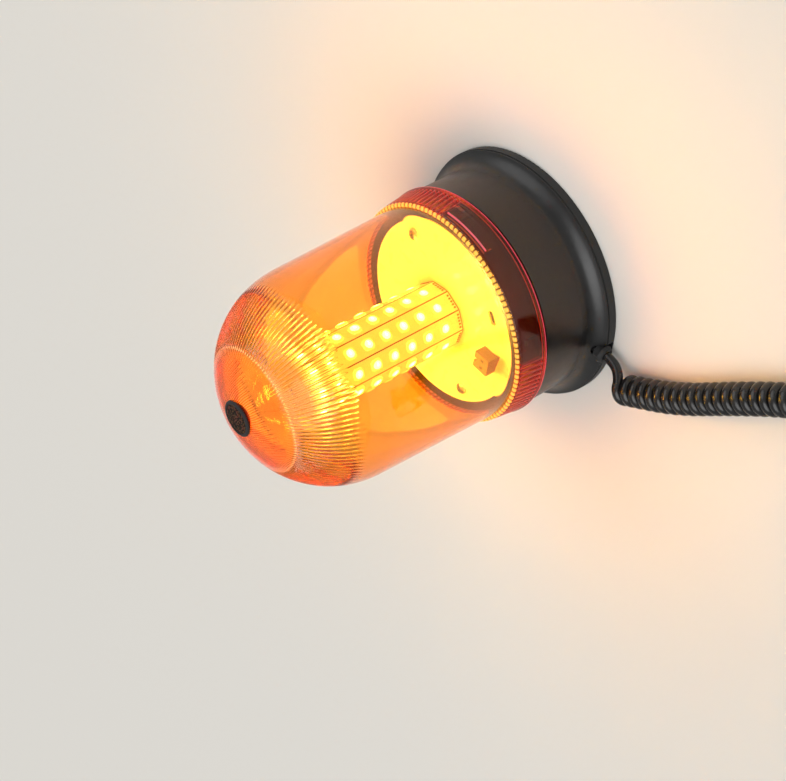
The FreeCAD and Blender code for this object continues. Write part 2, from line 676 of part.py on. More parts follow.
LEAD_ROUTE = from_gland([(0.0, 0.0, 6.0), (-6.0, 0.0, 6.0), (-12.6, 1.6, 7.4),
    (-18.0, 4.4, 9.6)])
COIL_ROUTE = from_gland([(-12.9, 10.0, 7.7), (-25.4, 2.0, 7.7), (-46.4, -12.6, 7.7),
    (-70.4, -35.4, 7.7), (-96.4, -58.6, 7.7), (-123.4, -76.6, 7.7), (-154.4, -77.0, 7.7),
    (-180.4, -61.0, 7.7), (-194.4, -34.0, 7.7), (-195.4, -4.0, 7.7), (-189.4, 24.0, 7.7)])
TAIL_ROUTE = from_gland([(-189.4, 24.0, 7.7), (-186.8, 35.0, 6.6), (-185.6, 46.0, 3.4),
    (-187.4, 58.0, 2.6), (-195.4, 69.0, 2.5), (-208.4, 73.6, 2.6), (-221.4, 70.2, 4.0),
    (-229.8, 60.4, 8.6), (-233.4, 49.0, GRIP_Z), (-233.4, 38.0, GRIP_Z)])


def cord_lead():
    return cable(LEAD_ROUTE, LEAD_D / 2, "cord_lead")


def cord_coil():
    return cable(COIL_ROUTE, COIL_D / 2, "cord_coil")


def cord_tail():
    return cable(TAIL_ROUTE, LEAD_D / 2, "cord_tail")


# ---------------------------------------------------------------- plug
# Built along +X: the barrel starts at x = 0, the grip lies behind it.
def plug_place(shape):
    shape = shape.copy()
    shape.rotate(ORIGIN, UP, -90)
    return moved(shape, V(PLUG_X, PLUG_Y, GRIP_Z))


def lathe_x(outline):
    """Solid of revolution about X of a closed outline of (x, r) points."""
    face = Part.Face(wire(outline, lambda p: V(p[0], 0, p[1])))
    return face.revolve(ORIGIN, V(1, 0, 0), 360)


def pipe_x(radius, start, end, y=0.0, z=0.0):
    return Part.makeCylinder(radius, end - start, V(start, y, z), V(1, 0, 0))


def grip_outline(inset):
    end = -GRIP_L + inset
    front = GRIP_R - inset
    tail = GRIP_TAIL_R - inset
    return [(end, 0), (end, tail - 1.2), ((end + 0.35, tail - 0.35), (end + 1.2, tail)),
            ((-GRIP_L * 0.62, (front + tail) / 2 + 0.9), (-GRIP_L * 0.30, front)),
            (-4.0 - inset, front), (-inset, SHOULDER_R - inset), (-inset, 0)]


PIN_ROOT = BARREL_L + 4.0                    # back face of the pin's collar
NOSE_END = BARREL_L + NECK_PLUG_L + NOSE_T   # front face of the nose cap
FUSE_START = PIN_ROOT - FUSE_L
FLAT_Z = GRIP_R - 1.6                        # flat on top of the grip
ROCKER_AXIS_Z = FLAT_Z - 1.4
AXLE_R = 0.9
BUTTON_FLANGE_R = BUTTON_R + 0.7             # keeps the button in
AXLE_L = ROCKER_W + 2.0
PLUG_BOARD_Z = -3.6                          # underside of the plug's board
PLUG_BOARD_TOP = PLUG_BOARD_Z + 1.2


def plug_body():
    grip = lathe_x(grip_outline(0)).cut(block(-GRIP_L + 6, -4.0, -20, 20, FLAT_Z, 20))
    barrel = lathe_x([(0, 0), (0, SHOULDER_R), (SHOULDER_L, SHOULDER_R),
                      (SHOULDER_L + 0.4, BARREL_R), (BARREL_L - 0.8, BARREL_R),
                      (BARREL_L, BARREL_R - 0.8), (BARREL_L, NECK_PLUG_R),
                      (BARREL_L + NECK_PLUG_L - MOVING_GAP, NECK_PLUG_R),
                      (BARREL_L + NECK_PLUG_L - MOVING_GAP, 0)])
    hollow = lathe_x(grip_outline(PLUG_WALL))
    hollow = hollow.cut(block(-99, 99, -20, 20, FLAT_Z - PLUG_WALL, 20))
    bosses = [rod(3.1, -GRIP_R, FLAT_Z - 0.5, V(-5.6, s * 7.2, 0)) for s in (-1, 1)]
    bosses += [block(x - 1.0, x + 1.0, -3.0, 3.0, -GRIP_R, PLUG_BOARD_Z)
               for x in (-12.0, -28.0)]
    bosses = group(bosses).common(lathe_x(grip_outline(0.4)))
    body = grip.fuse(barrel).cut(hollow).fuse(bosses)
    cuts = [pipe_x(BORE_R, -3, BARREL_L + 20),
            pipe_x(PIN_R + 1.5, PIN_ROOT - PIN_TRAVEL - 0.6, BARREL_L + 20),
            pipe_x(LEAD_D / 2, -GRIP_L - 1, -GRIP_L + 8)]
    pocket = CONTACT_L / 2 + 1.2
    middle = BARREL_L * 0.55
    depth = BARREL_R - 3.4
    for side in (-1, 1):
        y0, y1 = sorted((side * depth, side * (BARREL_R + 2)))
        cuts.append(block(middle - pocket, middle + pocket, y0, y1,
                          -CONTACT_W / 2 - MOVING_GAP, CONTACT_W / 2 + MOVING_GAP))
    gap = MOVING_GAP
    cuts.append(block(ROCKER_X - ROCKER_L / 2 - gap, ROCKER_X + ROCKER_L / 2 + gap,
                      -ROCKER_W / 2 - gap, ROCKER_W / 2 + gap, 2, 20))
    cuts.append(axle(AXLE_R + FIT, AXLE_L + 2 * gap))
    cuts.append(rod(BUTTON_R + gap, 2, 20, V(BUTTON_X, 0, 0)))
    cuts.append(rod(BUTTON_FLANGE_R + gap, 2, FLAT_Z - PLUG_WALL, V(BUTTON_X, 0, 0)))
    cuts.append(rod(1.5 + FIT, 2, 20, V(BUTTON_X + 7.2, 4.0, 0)))
    for side in (-1, 1):
        cuts.append(rod(1.1, -GRIP_R, 5.0, V(-5.6, side * 7.2, 0)))
        cuts.append(rod(2.3, -GRIP_R - 1, -8.6, V(-5.6, side * 7.2, 0)))
    for cut in cuts:
        body = body.cut(cut)
    return body


def axle(radius, length):
    """Rocker's axle, across the plug."""
    return Part.makeCylinder(radius, length, V(ROCKER_X, -length / 2, ROCKER_AXIS_Z),
                             V(0, 1, 0))


def plug_half(side):
    half = plug_body().common(block(-99, 99, -30, 30, min(0, side * 30), max(0, side * 30)))
    return plug_place(half)


def plug_nose_cap():
    start = BARREL_L + 0.3
    inner = NECK_PLUG_R + 0.06
    inside = BARREL_L + NECK_PLUG_L
    cap = lathe_x([(start, inner), (start, NOSE_R), (NOSE_END - 1.2, NOSE_R - 0.3),
                   ((NOSE_END - 0.4, NOSE_R - 0.7), (NOSE_END, NOSE_R - 1.6)),
                   (NOSE_END, PIN_R + 0.06), (inside, PIN_R + 0.06), (inside, inner)])
    notch = block(start + 1.5, NOSE_END - 2.0, NOSE_R - 0.7, NOSE_R + 1, -0.8, 0.8)
    for k in range(12):
        copy = notch.copy()
        copy.rotate(ORIGIN, V(1, 0, 0), 30.0 * k)
        cap = cap.cut(copy)
    return plug_place(cap)


def tip_pin():
    shoulder = BARREL_L + NECK_PLUG_L - MOVING_GAP
    tip = NOSE_END + PIN_OUT
    return plug_place(lathe_x([
        (PIN_ROOT, 0), (PIN_ROOT, PIN_R + 1.2), (shoulder, PIN_R + 1.2), (shoulder, PIN_R),
        (tip - 2.4, PIN_R), ((tip - 0.7, PIN_R * 0.72), (tip, POLE)), (tip, 0)]))


def plug_fuse():
    start, end = FUSE_START, PIN_ROOT
    caps = [pipe_x(FUSE_R, start, start + 5.5), pipe_x(FUSE_R, end - 5.5, end)]
    return plug_place(joined(caps + [pipe_x(FUSE_R - 0.35, start, end)]))


def fuse_spring():
    """Compression spring drawn as its solid of five touching rings."""
    start = 2.0
    length = FUSE_START - start
    outline = [(start, FUSE_R - 1.0)]
    turns = 5
    step = length / turns
    for k in range(turns):
        x = start + step * k
        outline += [(x, FUSE_R - 0.3), ((x + step / 2, FUSE_R), (x + step, FUSE_R - 0.3))]
    outline.append((start + length, FUSE_R - 1.0))
    return plug_place(lathe_x(outline))


def spring_seat():
    return plug_place(pipe_x(BORE_R - FIT, 0.6, 2.0))


def side_contact(side):
    """Bowed leaf that presses on the socket's wall."""
    middle = BARREL_L * 0.55
    half = CONTACT_L / 2
    thick = 0.6
    foot = BARREL_R - 1.6
    crest = BARREL_R + CONTACT_OUT
    z = CONTACT_W / 2

    def place(p):
        return V(p[0], side * p[1], -z)

    leaf = Part.Face(wire([
        (middle - half, foot - thick), (middle - half, foot), ((middle, crest),
        (middle + half, foot)), (middle + half, foot - thick),
        ((middle, crest - thick), (middle - half, foot - thick))], place))
    return plug_place(leaf.extrude(V(0, 0, CONTACT_W)))


def power_rocker():
    """Rocker pressed down at its front; it turns about its middle."""
    half = ROCKER_L / 2 - 0.4
    top = FLAT_Z + 2.0
    z0 = FLAT_Z - 4.2
    tilt = math.tan(math.radians(ROCKER_TILT))

    def place(p):
        return V(ROCKER_X + p[0], -ROCKER_W / 2 + 0.2, p[1])

    side = Part.Face(wire([
        (-half, z0 + 1.6), (-half, top - half * tilt * 0.2), ((0, FLAT_Z + 1.1),
        (half, top - half * tilt * 0.2)), (half, z0 + 1.6), ((0, z0), (-half, z0 + 1.6))],
        place))
    body = side.extrude(V(0, ROCKER_W - 0.4, 0)).fuse(axle(AXLE_R, AXLE_L))
    body.rotate(V(ROCKER_X, 0, ROCKER_AXIS_Z), V(0, 1, 0), ROCKER_TILT / 2)
    return plug_place(body)


def mode_button():
    top = FLAT_Z + 1.4
    flange = FLAT_Z - PLUG_WALL - 0.1
    foot = flange - 2.6
    return plug_place(moved(turned([
        (0, foot), (1.5, foot), (1.5, flange - 1.0), (BUTTON_FLANGE_R, flange - 1.0),
        (BUTTON_FLANGE_R, flange), (BUTTON_R, flange), (BUTTON_R, top - 0.6),
        ((BUTTON_R * 0.6, top - 0.12), (POLE, top)), (0, top)]), V(BUTTON_X, 0, 0)))


def status_lens():
    top = FLAT_Z + 0.5
    return plug_place(moved(turned([
        (0, FLAT_Z - 2.6), (1.5, FLAT_Z - 2.6), (1.5, FLAT_Z), ((1.1, top - 0.15), (POLE, top)), (0, top)]),
        V(BUTTON_X + 7.2, 4.0, 0)))


def plug_board():
    board = block(-GRIP_L + 10, -9.5, -6.5, 6.5, PLUG_BOARD_Z, PLUG_BOARD_TOP)
    switch_top = FLAT_Z - PLUG_WALL - 0.1 - 2.6 - BUTTON_TRAVEL - 0.1
    switch = rod(3.0, PLUG_BOARD_TOP, switch_top, V(BUTTON_X, 0, 0))
    socket = block(ROCKER_X - 4.4, ROCKER_X + 4.4, -3.6, 3.6, PLUG_BOARD_TOP, FLAT_Z - 6.2)
    return plug_place(joined([board, switch, socket]))


def plug_screws():
    screws = []
    for side in (-1, 1):
        body = screw(2.1, 1.6, 1.05, 12.5, ORIGIN)
        body.rotate(ORIGIN, V(1, 0, 0), 180)
        screws.append(moved(body, V(-5.6, side * 7.2, -8.6)))
    return plug_place(group(screws))


def plug_boot():
    """Tapered sleeve with grooves, where the lead enters the grip."""
    start, end = -GRIP_L - BOOT_L, -GRIP_L
    bore = LEAD_D / 2
    outline = [(end, bore), (end, GRIP_TAIL_R - 2.2)]
    step = (BOOT_L - 4.0) / BOOT_GROOVE_COUNT
    for k in range(BOOT_GROOVE_COUNT):
        x = end - 2.0 - step * k
        r = GRIP_TAIL_R - 2.3 - 0.55 * k
        outline += [(x, r), (x - 0.5, r - 1.1), (x - step * 0.5, r - 1.2),
                    (x - step * 0.5 - 0.5, r - 0.3)]
    outline += [(start, bore + 0.9), (start, bore)]
    return plug_place(lathe_x(outline))


PARTS = {
    "rubber_foot": rubber_foot,
    "base_housing": base_housing,
    "steel_cup": steel_cup,
    "magnet_ring": magnet_ring,
    "magnet_screw": magnet_screw,
    "magnet_nut": magnet_nut,
    "lens_seal": lens_seal,
    "lens": lens,
    "vent_plug": vent_plug,
    "vent_foam": vent_foam,
    "main_board": main_board,
    "board_screws": board_screws,
    "tower_core": tower_core,
    "strip_leds": strip_leds,
    "tower_cap": tower_cap,
    "tower_screws": tower_screws,
    "header_housing": header_housing,
    "header_pins": header_pins,
    "storage_capacitor": storage_capacitor,
    "power_choke": power_choke,
    "power_transistors": power_transistors,
    "controller_chip": controller_chip,
    "cord_gland": cord_gland,
    "inner_cable": inner_cable,
    "cable_clamp": cable_clamp,
    "clamp_screws": clamp_screws,
    "supply_wires": supply_wires,
    "cord_lead": cord_lead,
    "cord_coil": cord_coil,
    "cord_tail": cord_tail,
    "plug_upper_shell": lambda: plug_half(1),
    "plug_lower_shell": lambda: plug_half(-1),
    "plug_nose_cap": plug_nose_cap,
    "tip_pin": tip_pin,
    "plug_fuse": plug_fuse,
    "fuse_spring": fuse_spring,
    "spring_seat": spring_seat,
    "side_contact_left": lambda: side_contact(1),
    "side_contact_right": lambda: side_contact(-1),
    "power_rocker": power_rocker,
    "mode_button": mode_button,
    "status_lens": status_lens,
    "plug_board": plug_board,
    "plug_screws": plug_screws,
    "plug_boot": plug_boot,
}
for index in range(STRIP_COUNT):
    PARTS["led_strip_%02d" % (index + 1)] = lambda index=index: led_strip(index)

os.makedirs("parts", exist_ok=True)
for node, make in PARTS.items():
    shape = make()
    if not shape.isValid():
        print("INVALID", node)
    shape.exportStep("parts/%s.step" % node)
    print(node, "solids", len(shape.Solids), "faces", len(shape.Faces),
          "volume %.1f" % shape.Volume)
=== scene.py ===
import math

import bmesh
import bpy
from bpy.props import FloatProperty, IntProperty, PointerProperty, StringProperty
from mathutils import Matrix, Vector


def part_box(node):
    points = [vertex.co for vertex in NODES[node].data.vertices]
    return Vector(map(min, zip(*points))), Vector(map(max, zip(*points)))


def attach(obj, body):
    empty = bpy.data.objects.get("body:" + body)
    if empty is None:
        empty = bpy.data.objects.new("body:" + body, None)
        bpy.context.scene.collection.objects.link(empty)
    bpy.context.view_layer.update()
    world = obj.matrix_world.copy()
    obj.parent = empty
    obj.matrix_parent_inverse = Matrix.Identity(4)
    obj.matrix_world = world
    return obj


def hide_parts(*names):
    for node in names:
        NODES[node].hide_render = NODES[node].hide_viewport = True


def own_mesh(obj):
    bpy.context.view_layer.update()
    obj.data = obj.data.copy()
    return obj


bl_info = {
    "name": "LED warning beacon",
    "version": (1, 0, 0),
    "blender": (4, 5, 0),
    "location": "3D View > Sidebar > Beacon",
    "description": "Dresses a magnetic LED beacon, its curly lead and its plug",
    "category": "Object",
}

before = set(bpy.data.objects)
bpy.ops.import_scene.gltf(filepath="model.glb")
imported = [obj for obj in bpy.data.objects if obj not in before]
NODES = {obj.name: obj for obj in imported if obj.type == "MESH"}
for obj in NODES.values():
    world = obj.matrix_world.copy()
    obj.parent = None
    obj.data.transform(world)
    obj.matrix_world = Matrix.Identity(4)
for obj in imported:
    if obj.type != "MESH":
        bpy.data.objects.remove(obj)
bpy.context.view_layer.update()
MM = 0.001

# Route of the lead, the coil's axis and the tail, in metres.
LEAD_ROUTE = [(-0.0662, 0.0, 0.0060), (-0.0712, 0.0, 0.0060), (-0.0762, 0.0014, 0.0074)]
COIL_ROUTE = [(-0.0795, 0.0100, 0.0077), (-0.0920, 0.0020, 0.0077),
              (-0.1130, -0.0126, 0.0077), (-0.1370, -0.0354, 0.0077),
              (-0.1630, -0.0586, 0.0077), (-0.1900, -0.0766, 0.0077),
              (-0.2210, -0.0770, 0.0077), (-0.2470, -0.0610, 0.0077),
              (-0.2610, -0.0340, 0.0077), (-0.2620, -0.0040, 0.0077),
              (-0.2560, 0.0240, 0.0077)]
TAIL_ROUTE = [(-0.2534, 0.0350, 0.0066), (-0.2522, 0.0460, 0.0034),
              (-0.2540, 0.0580, 0.0026), (-0.2620, 0.0690, 0.0026),
              (-0.2750, 0.0736, 0.0026), (-0.2880, 0.0702, 0.0040),
              (-0.2964, 0.0604, 0.0086), (-0.3000, 0.0490, 0.0130),
              (-0.3000, 0.0375, 0.0130)]


# ---------------------------------------------------------------- settings
class BeaconSizes(bpy.types.PropertyGroup):
    """Sizes of the beacon's fine detail, in metres"""
    cord_diameter: FloatProperty(
        name="Cord diameter", description="Outside of the cord's jacket",
        default=0.005, unit="LENGTH")
    coil_radius: FloatProperty(
        name="Coil radius", description="Axis of the coil to the middle of the cord",
        default=0.0052, unit="LENGTH")
    coil_pitch: FloatProperty(
        name="Coil pitch", description="From one turn of the coil to the next",
        default=0.0055, unit="LENGTH")
    lens_wall: FloatProperty(
        name="Lens wall", description="Thickness of the dome's wall",
        default=0.0022, unit="LENGTH")
    ribs: IntProperty(
        name="Ribs", description="Optical ribs round the shoulder of the dome",
        default=120)
    rib_depth: FloatProperty(
        name="Rib depth", description="Ridge to valley of the optical ribs",
        default=0.00065, unit="LENGTH")
    reed_depth: FloatProperty(
        name="Reed depth", description="Ridge to valley of the grip reeds",
        default=0.00065, unit="LENGTH")
    led_window: FloatProperty(
        name="LED window", description="Radius of the resin window of an LED",
        default=0.00195, unit="LENGTH")


class BeaconColours(bpy.types.PropertyGroup):
    """Colours of the beacon, as sRGB hex values, and the lamps' level"""
    housing: StringProperty(name="Housing", description="ABS of the base",
                            default="#0B0B0C")
    rubber: StringProperty(name="Rubber", description="Foot and seals", default="#111112")
    solder_mask: StringProperty(name="Solder mask", description="Round board and strips",
                                default="#EDEBE2")
    cord: StringProperty(name="Cord", description="Jacket of the cord", default="#0D0D0E")
    glow: StringProperty(name="LED light", description="Light of the LEDs",
                         default="#FFF0A0")
    core: StringProperty(name="LED core", description="Light right over an LED's chip",
                         default="#FFF3D0")
    glow_level: FloatProperty(name="LED level", description="Strength of the LEDs' light",
                              default=300.0)
    floor: StringProperty(name="Floor", description="Floor under the beacon",
                          default="#D9D6D0")


# ---------------------------------------------------------------- materials
def colour(text):
    """sRGB hex to linear RGBA."""
    values = [int(text[i:i + 2], 16) / 255.0 for i in (1, 3, 5)]
    linear = [v / 12.92 if v <= 0.04045 else ((v + 0.055) / 1.055) ** 2.4 for v in values]
    return (*linear, 1.0)


def per_metre(size_mm):
    """Texture scale that gives features of that real size."""
    return 1.0 / (size_mm * MM)


def add_node(tree, kind, values=None, links=None, **settings):
    """Adds a node with its settings, socket values and incoming links."""
    node = tree.nodes.new(kind)
    for name, value in settings.items():
        setattr(node, name, value)
    for socket, value in (values or {}).items():
        node.inputs[socket].default_value = value
    for socket, source in (links or {}).items():
        tree.links.new(source, node.inputs[socket])
    return node


def spans(*ends):
    """Socket values of a map range: from, from, to, to."""
    return dict(enumerate(ends, 1))


def pattern(kind, size_mm, output="Fac", settings=None, **values):
    """A texture to be made: its output, and what add_node needs to make it."""
    return output, dict(kind="ShaderNodeTex" + kind, **(settings or {}),
                        values={"Scale": per_metre(size_mm), **values})


def textured(name, values, tones=None, rough=None, mottle=None, relief=None,
             depth_mm=0.0, strength=1.0, span=(0.3, 0.7), tone_span=None):
    """Material with these values on its shader. Its two tones and its roughness follow
    the pattern mottle, over a span of what it gives; its bump follows relief, or else
    mottle too."""
    material = bpy.data.materials.new(name)
    material.use_nodes = True
    tree = material.node_tree
    tree.nodes.clear()
    place = add_node(tree, "ShaderNodeTexCoord").outputs["Object"]
    fields = [add_node(tree, links={"Vector": place}, **spec).outputs[output]
              for output, spec in filter(None, (mottle, relief))]
    links = {}
    if tones:
        share = add_node(tree, "ShaderNodeMapRange", links={0: fields[0]},
                         values=spans(*(tone_span or span), 0.0, 1.0))
        dark, light = (colour(tone) for tone in tones)
        links["Base Color"] = add_node(tree, "ShaderNodeMix", data_type="RGBA",
                                       values={6: dark, 7: light},
                                       links={0: share.outputs[0]}).outputs[2]
    if rough:
        links["Roughness"] = add_node(tree, "ShaderNodeMapRange", links={0: fields[0]},
                                      values=spans(*span, *rough)).outputs[0]
    if depth_mm:
        links["Normal"] = add_node(tree, "ShaderNodeBump", links={"Height": fields[-1]},
                                   values={"Strength": strength,
                                           "Distance": depth_mm * MM}).outputs[0]
    shader = add_node(tree, "ShaderNodeBsdfPrincipled", values=values, links=links)
    add_node(tree, "ShaderNodeOutputMaterial", links={"Surface": shader.outputs["BSDF"]})
    return material


def moulded_plastic(name, dark, light, rough=(0.28, 0.42), grain_mm=0.35,
                    depth_mm=0.012):
    """Thermoplastic, injection moulded in a lightly spark-eroded tool: an even sheen
    that breaks up into a very fine leathery grain, with faint handling marks."""
    return textured(name, {"IOR": 1.53}, (dark, light), rough,
                    mottle=pattern("Noise", 14.0, Detail=5.0, Roughness=0.65),
                    relief=pattern("Noise", grain_mm, Detail=4.0, Roughness=0.6),
                    depth_mm=depth_mm)


def moulded_rubber(name, dark, light):
    """Natural rubber, compression moulded: matt, slightly greyed where it was handled,
    with a soft grain that scatters the highlights."""
    return textured(name, {"IOR": 1.52, "Sheen Weight": 0.06, "Sheen Roughness": 0.5},
                    (dark, light), (0.55, 0.75),
                    mottle=pattern("Noise", 9.0, Detail=6.0, Roughness=0.7),
                    relief=pattern("Noise", 0.22, Detail=3.0, Roughness=0.6),
                    depth_mm=0.02)


def product(tree, *masks):
    """Masks multiplied with each other."""
    total = masks[0]
    for mask in masks[1:]:
        total = add_node(tree, "ShaderNodeMath", operation="MULTIPLY",
                         links={0: total, 1: mask}).outputs[0]
    return total


def between(tree, source, low, high, soft):
    """Mask that is 1 from low to high and fades to 0 over a short way outside them."""
    return product(tree, *[
        add_node(tree, "ShaderNodeMapRange", values=ends, links={0: source}).outputs[0]
        for ends in (spans(low - soft, low, 0.0, 1.0), spans(high, high + soft, 1.0, 0.0))])


PAINTED_LENS_GLOW = 1.6                        # level of the painted glow at the wall's edges, which the lens emits itself
HAZE, SKIRT_HAZE, NOSE_HAZE = 0.010, 0.28, 0.13     # share of the light that spreads
DYE_KEEPS, DYE_DENSITY = (0.995, 0.785, 0.0, 1.0), 960.0
SHADOW_KEEPS = (0.93, 0.93, 0.93, 1.0)
# Heights on the lens in mm: from, to, and the fade outside them.
LENS_BANDS = {"skirt": (30.0, 55.6, 0.8), "nose": (164.4, 190.0, 0.6),
              "beads": (55.05, 55.85, 0.12), "foot": (39.95, 40.3, 0.1),
              "reeds": (42.4, 53.2, 0.5), "painted_glints": (163.4, 163.9, 0.1),
              "pad": (51.5, 51.8, 0.1)}


def amber_polycarbonate(ribs):
    """Polycarbonate dyed amber through its mass, injection moulded in a polished tool:
    clear and pale where the wall is thin, red where light runs far inside it, as in the
    reeded skirt and the nose. It has a painted glow: the ring of beads, the foot's rim,
    the reeds' crests and the blank pad emit light themselves, in place of the LEDs' light
    that the wall carries to its edges, and a row of painted glints shines where the ribs
    meet the nose. Lamps shine through it with only the dye's loss, without a caustic
    pattern."""
    material = textured("amber_polycarbonate",
                        {"Base Color": (1.0, 1.0, 1.0, 1.0), "IOR": 1.585,
                         "Transmission Weight": 1.0, "Roughness": 0.015,
                         "Emission Strength": PAINTED_LENS_GLOW},
                        relief=pattern("Noise", 22.0, Detail=2.0, Roughness=0.4),
                        depth_mm=0.10, strength=0.35)
    tree = material.node_tree
    clear = tree.nodes["Principled BSDF"]
    place = tree.nodes["Texture Coordinate"].outputs["Object"]
    x, y, z = add_node(tree, "ShaderNodeSeparateXYZ", links={"Vector": place}).outputs
    band = {name: between(tree, z, low * MM, high * MM, soft * MM)
            for name, (low, high, soft) in LENS_BANDS.items()}
    bearing = add_node(tree, "ShaderNodeMath", operation="ARCTAN2",
                       links={0: y, 1: x}).outputs[0]
    fade = math.radians(0.3)
    window, label = (between(tree, bearing, math.radians(start) + fade,
                             math.radians(end) - fade, fade)
                     for start, end in (WINDOW, BLANK_PAD[:2]))
    reeded = add_node(tree, "ShaderNodeMath", operation="SUBTRACT", values={0: 1.0},
                      links={1: window}).outputs[0]
    wave = add_node(tree, "ShaderNodeMath", operation="MULTIPLY", values={1: float(ribs)},
                    links={0: bearing}).outputs[0]
    ridge = add_node(tree, "ShaderNodeMath", operation="COSINE", links={0: wave}).outputs[0]
    bead = add_node(tree, "ShaderNodeMapRange", values=spans(-0.95, -0.1, 0.15, 1.0),
                    links={0: ridge}).outputs[0]
    flat = add_node(tree, "ShaderNodeCombineXYZ", links={"X": x, "Y": y}).outputs[0]
    radius = add_node(tree, "ShaderNodeVectorMath", operation="LENGTH",
                      links={"Vector": flat}).outputs["Value"]
    # the outer face alone: the painted glints start 29 mm from the axis, the beads' painted
    # glow 55 mm
    past_dots, past_beads = (between(tree, radius, start * MM, 1.0, 0.2 * MM)
                             for start in (29.0, 55.0))
    lit = None
    # painted glow: the lens emits these colours itself, on the foot's rim, the reeds'
    # crests, the blank pad, a row of painted glints at the ribs' ends and the ring of beads
    for hex_painted_glow, masks in (
            ("#D83A54", (band["foot"],)),
            ("#7A0A10", (band["reeds"], reeded, between(tree, ridge, 0.9, 2.0, 0.7))),
            ("#C8606A", (band["pad"], label)),
            ("#D8B48C", (band["painted_glints"], between(tree, ridge, 0.9, 2.0, 0.2), past_dots)),
            ("#FFC24A", (band["beads"], bead, past_beads))):
        links = {0: product(tree, *masks)}
        if lit is not None:
            links[6] = lit
        lit = add_node(tree, "ShaderNodeMix", data_type="RGBA", links=links,
                       values={6: (0.0, 0.0, 0.0, 1.0), 7: colour(hex_painted_glow)}).outputs[2]
    tree.links.new(lit, clear.inputs["Emission Color"])
    # haze: tinted light that spreads in the wall, more of it in the skirt and the nose
    tint = add_node(tree, "ShaderNodeMix", data_type="RGBA", links={0: window},
                    values={6: colour("#8E0A0A"), 7: colour("#4A0507")}).outputs[2]
    tint = add_node(tree, "ShaderNodeMix", data_type="RGBA",
                    values={6: colour("#FFA61E")},
                    links={0: band["skirt"], 7: tint}).outputs[2]
    tint = add_node(tree, "ShaderNodeMix", data_type="RGBA",
                    values={7: colour("#FF4A0E")},
                    links={0: band["nose"], 6: tint}).outputs[2]
    haze = add_node(tree, "ShaderNodeMath", operation="MULTIPLY_ADD",
                    values={1: SKIRT_HAZE, 2: HAZE}, links={0: band["skirt"]}).outputs[0]
    haze = add_node(tree, "ShaderNodeMath", operation="MULTIPLY_ADD",
                    values={1: NOSE_HAZE}, links={0: band["nose"], 2: haze}).outputs[0]
    both = [add_node(tree, kind, links={"Color": tint}).outputs["BSDF"]
            for kind in ("ShaderNodeBsdfDiffuse", "ShaderNodeBsdfTranslucent")]
    spread = add_node(tree, "ShaderNodeMixShader", values={0: 0.5},
                      links={1: both[0], 2: both[1]}).outputs[0]
    body = add_node(tree, "ShaderNodeMixShader",
                    links={0: haze, 1: clear.outputs["BSDF"], 2: spread}).outputs[0]
    straight = add_node(tree, "ShaderNodeBsdfTransparent",
                        values={"Color": SHADOW_KEEPS}).outputs["BSDF"]
    path = add_node(tree, "ShaderNodeLightPath").outputs["Is Shadow Ray"]
    surface = add_node(tree, "ShaderNodeMixShader", links={0: path, 1: body, 2: straight})
    dye = add_node(tree, "ShaderNodeVolumeAbsorption",
                   values={"Color": DYE_KEEPS, "Density": DYE_DENSITY})
    end = tree.nodes["Material Output"]
    tree.links.new(surface.outputs[0], end.inputs["Surface"])
    tree.links.new(dye.outputs["Volume"], end.inputs["Volume"])
    return material


def solder_mask(name, dark, light, coat=0.5, coat_rough=0.12):
    """Glass-epoxy board under white solder mask, screen printed and cured: a glossy
    coat over a faint weave of glass yarns 0.5 mm apart. It has a painted glow: between
    the LEDs the surface emits a warm yellow light itself, in place of the light they spill
    into it."""
    # painted glow: the mask's surface emits a warm yellow light of its own
    return textured(name, {"IOR": 1.5, "Coat Weight": coat, "Coat Roughness": coat_rough,
                           "Emission Color": colour("#FFE070"), "Emission Strength": 0.5},
                    (dark, light), (0.24, 0.38), mottle=pattern("Noise", 6.0, Detail=3.0),
                    # the wave texture counts its bands in twentieths
                    relief=pattern("Wave", 20 * 0.5, Distortion=0.4, Detail=1.0,
                                   settings={"bands_direction": "DIAGONAL"}),
                    depth_mm=0.002)


def led_package_plastic():
    """Polyphthalamide, moulded with a white filler: the reflector frame of an LED,
    satin, with a painted glow: it emits a bright yellow light itself, in place of the light
    that soaks into it."""
    # painted glow: the frame emits light of its own
    return textured("led_frame_plastic_painted_glow",
                    {"IOR": 1.5, "Emission Color": colour("#FFEC9A"),
                     "Emission Strength": 1.3},
                    ("#F1EFE6", "#FBFAF4"), (0.3, 0.42),
                    mottle=pattern("Noise", 0.8, Detail=2.0), tone_span=(0.0, 1.0))


def lit_resin(name, glow, level):
    """Silicone resin cast over the LED chip, lit: white hot over the chip, and a warm
    yellow out to its rim."""
    return textured(name, {"IOR": 1.45, "Roughness": 0.15, "Emission Color": colour(glow),
                           "Emission Strength": level}, ("#FFC83C", "#FFD765"),
                    mottle=pattern("Noise", 3.0, Detail=1.0), tone_span=(0.0, 1.0))


def plated_metal(name, dark, light, rough=(0.22, 0.38)):
    """Steel or brass, drawn and barrel plated: bright, with the fine dull clouding that
    tumbling leaves."""
    return textured(name, {"Metallic": 1.0}, (dark, light), rough,
                    mottle=pattern("Noise", 0.6, Detail=4.0, Roughness=0.6), depth_mm=0.01)


def extruded_polyurethane(dark):
    """Polyurethane jacket, extruded and heat set in its coil: smooth and glossy, with
    long faint drag marks that soften the highlight here and there."""
    return textured("extruded_polyurethane", {"IOR": 1.5}, (dark, "#1B1B1C"),
                    (0.16, 0.30), mottle=pattern("Noise", 5.0, Detail=4.0, Roughness=0.6),
                    relief=pattern("Noise", 0.5, Detail=3.0), depth_mm=0.008)


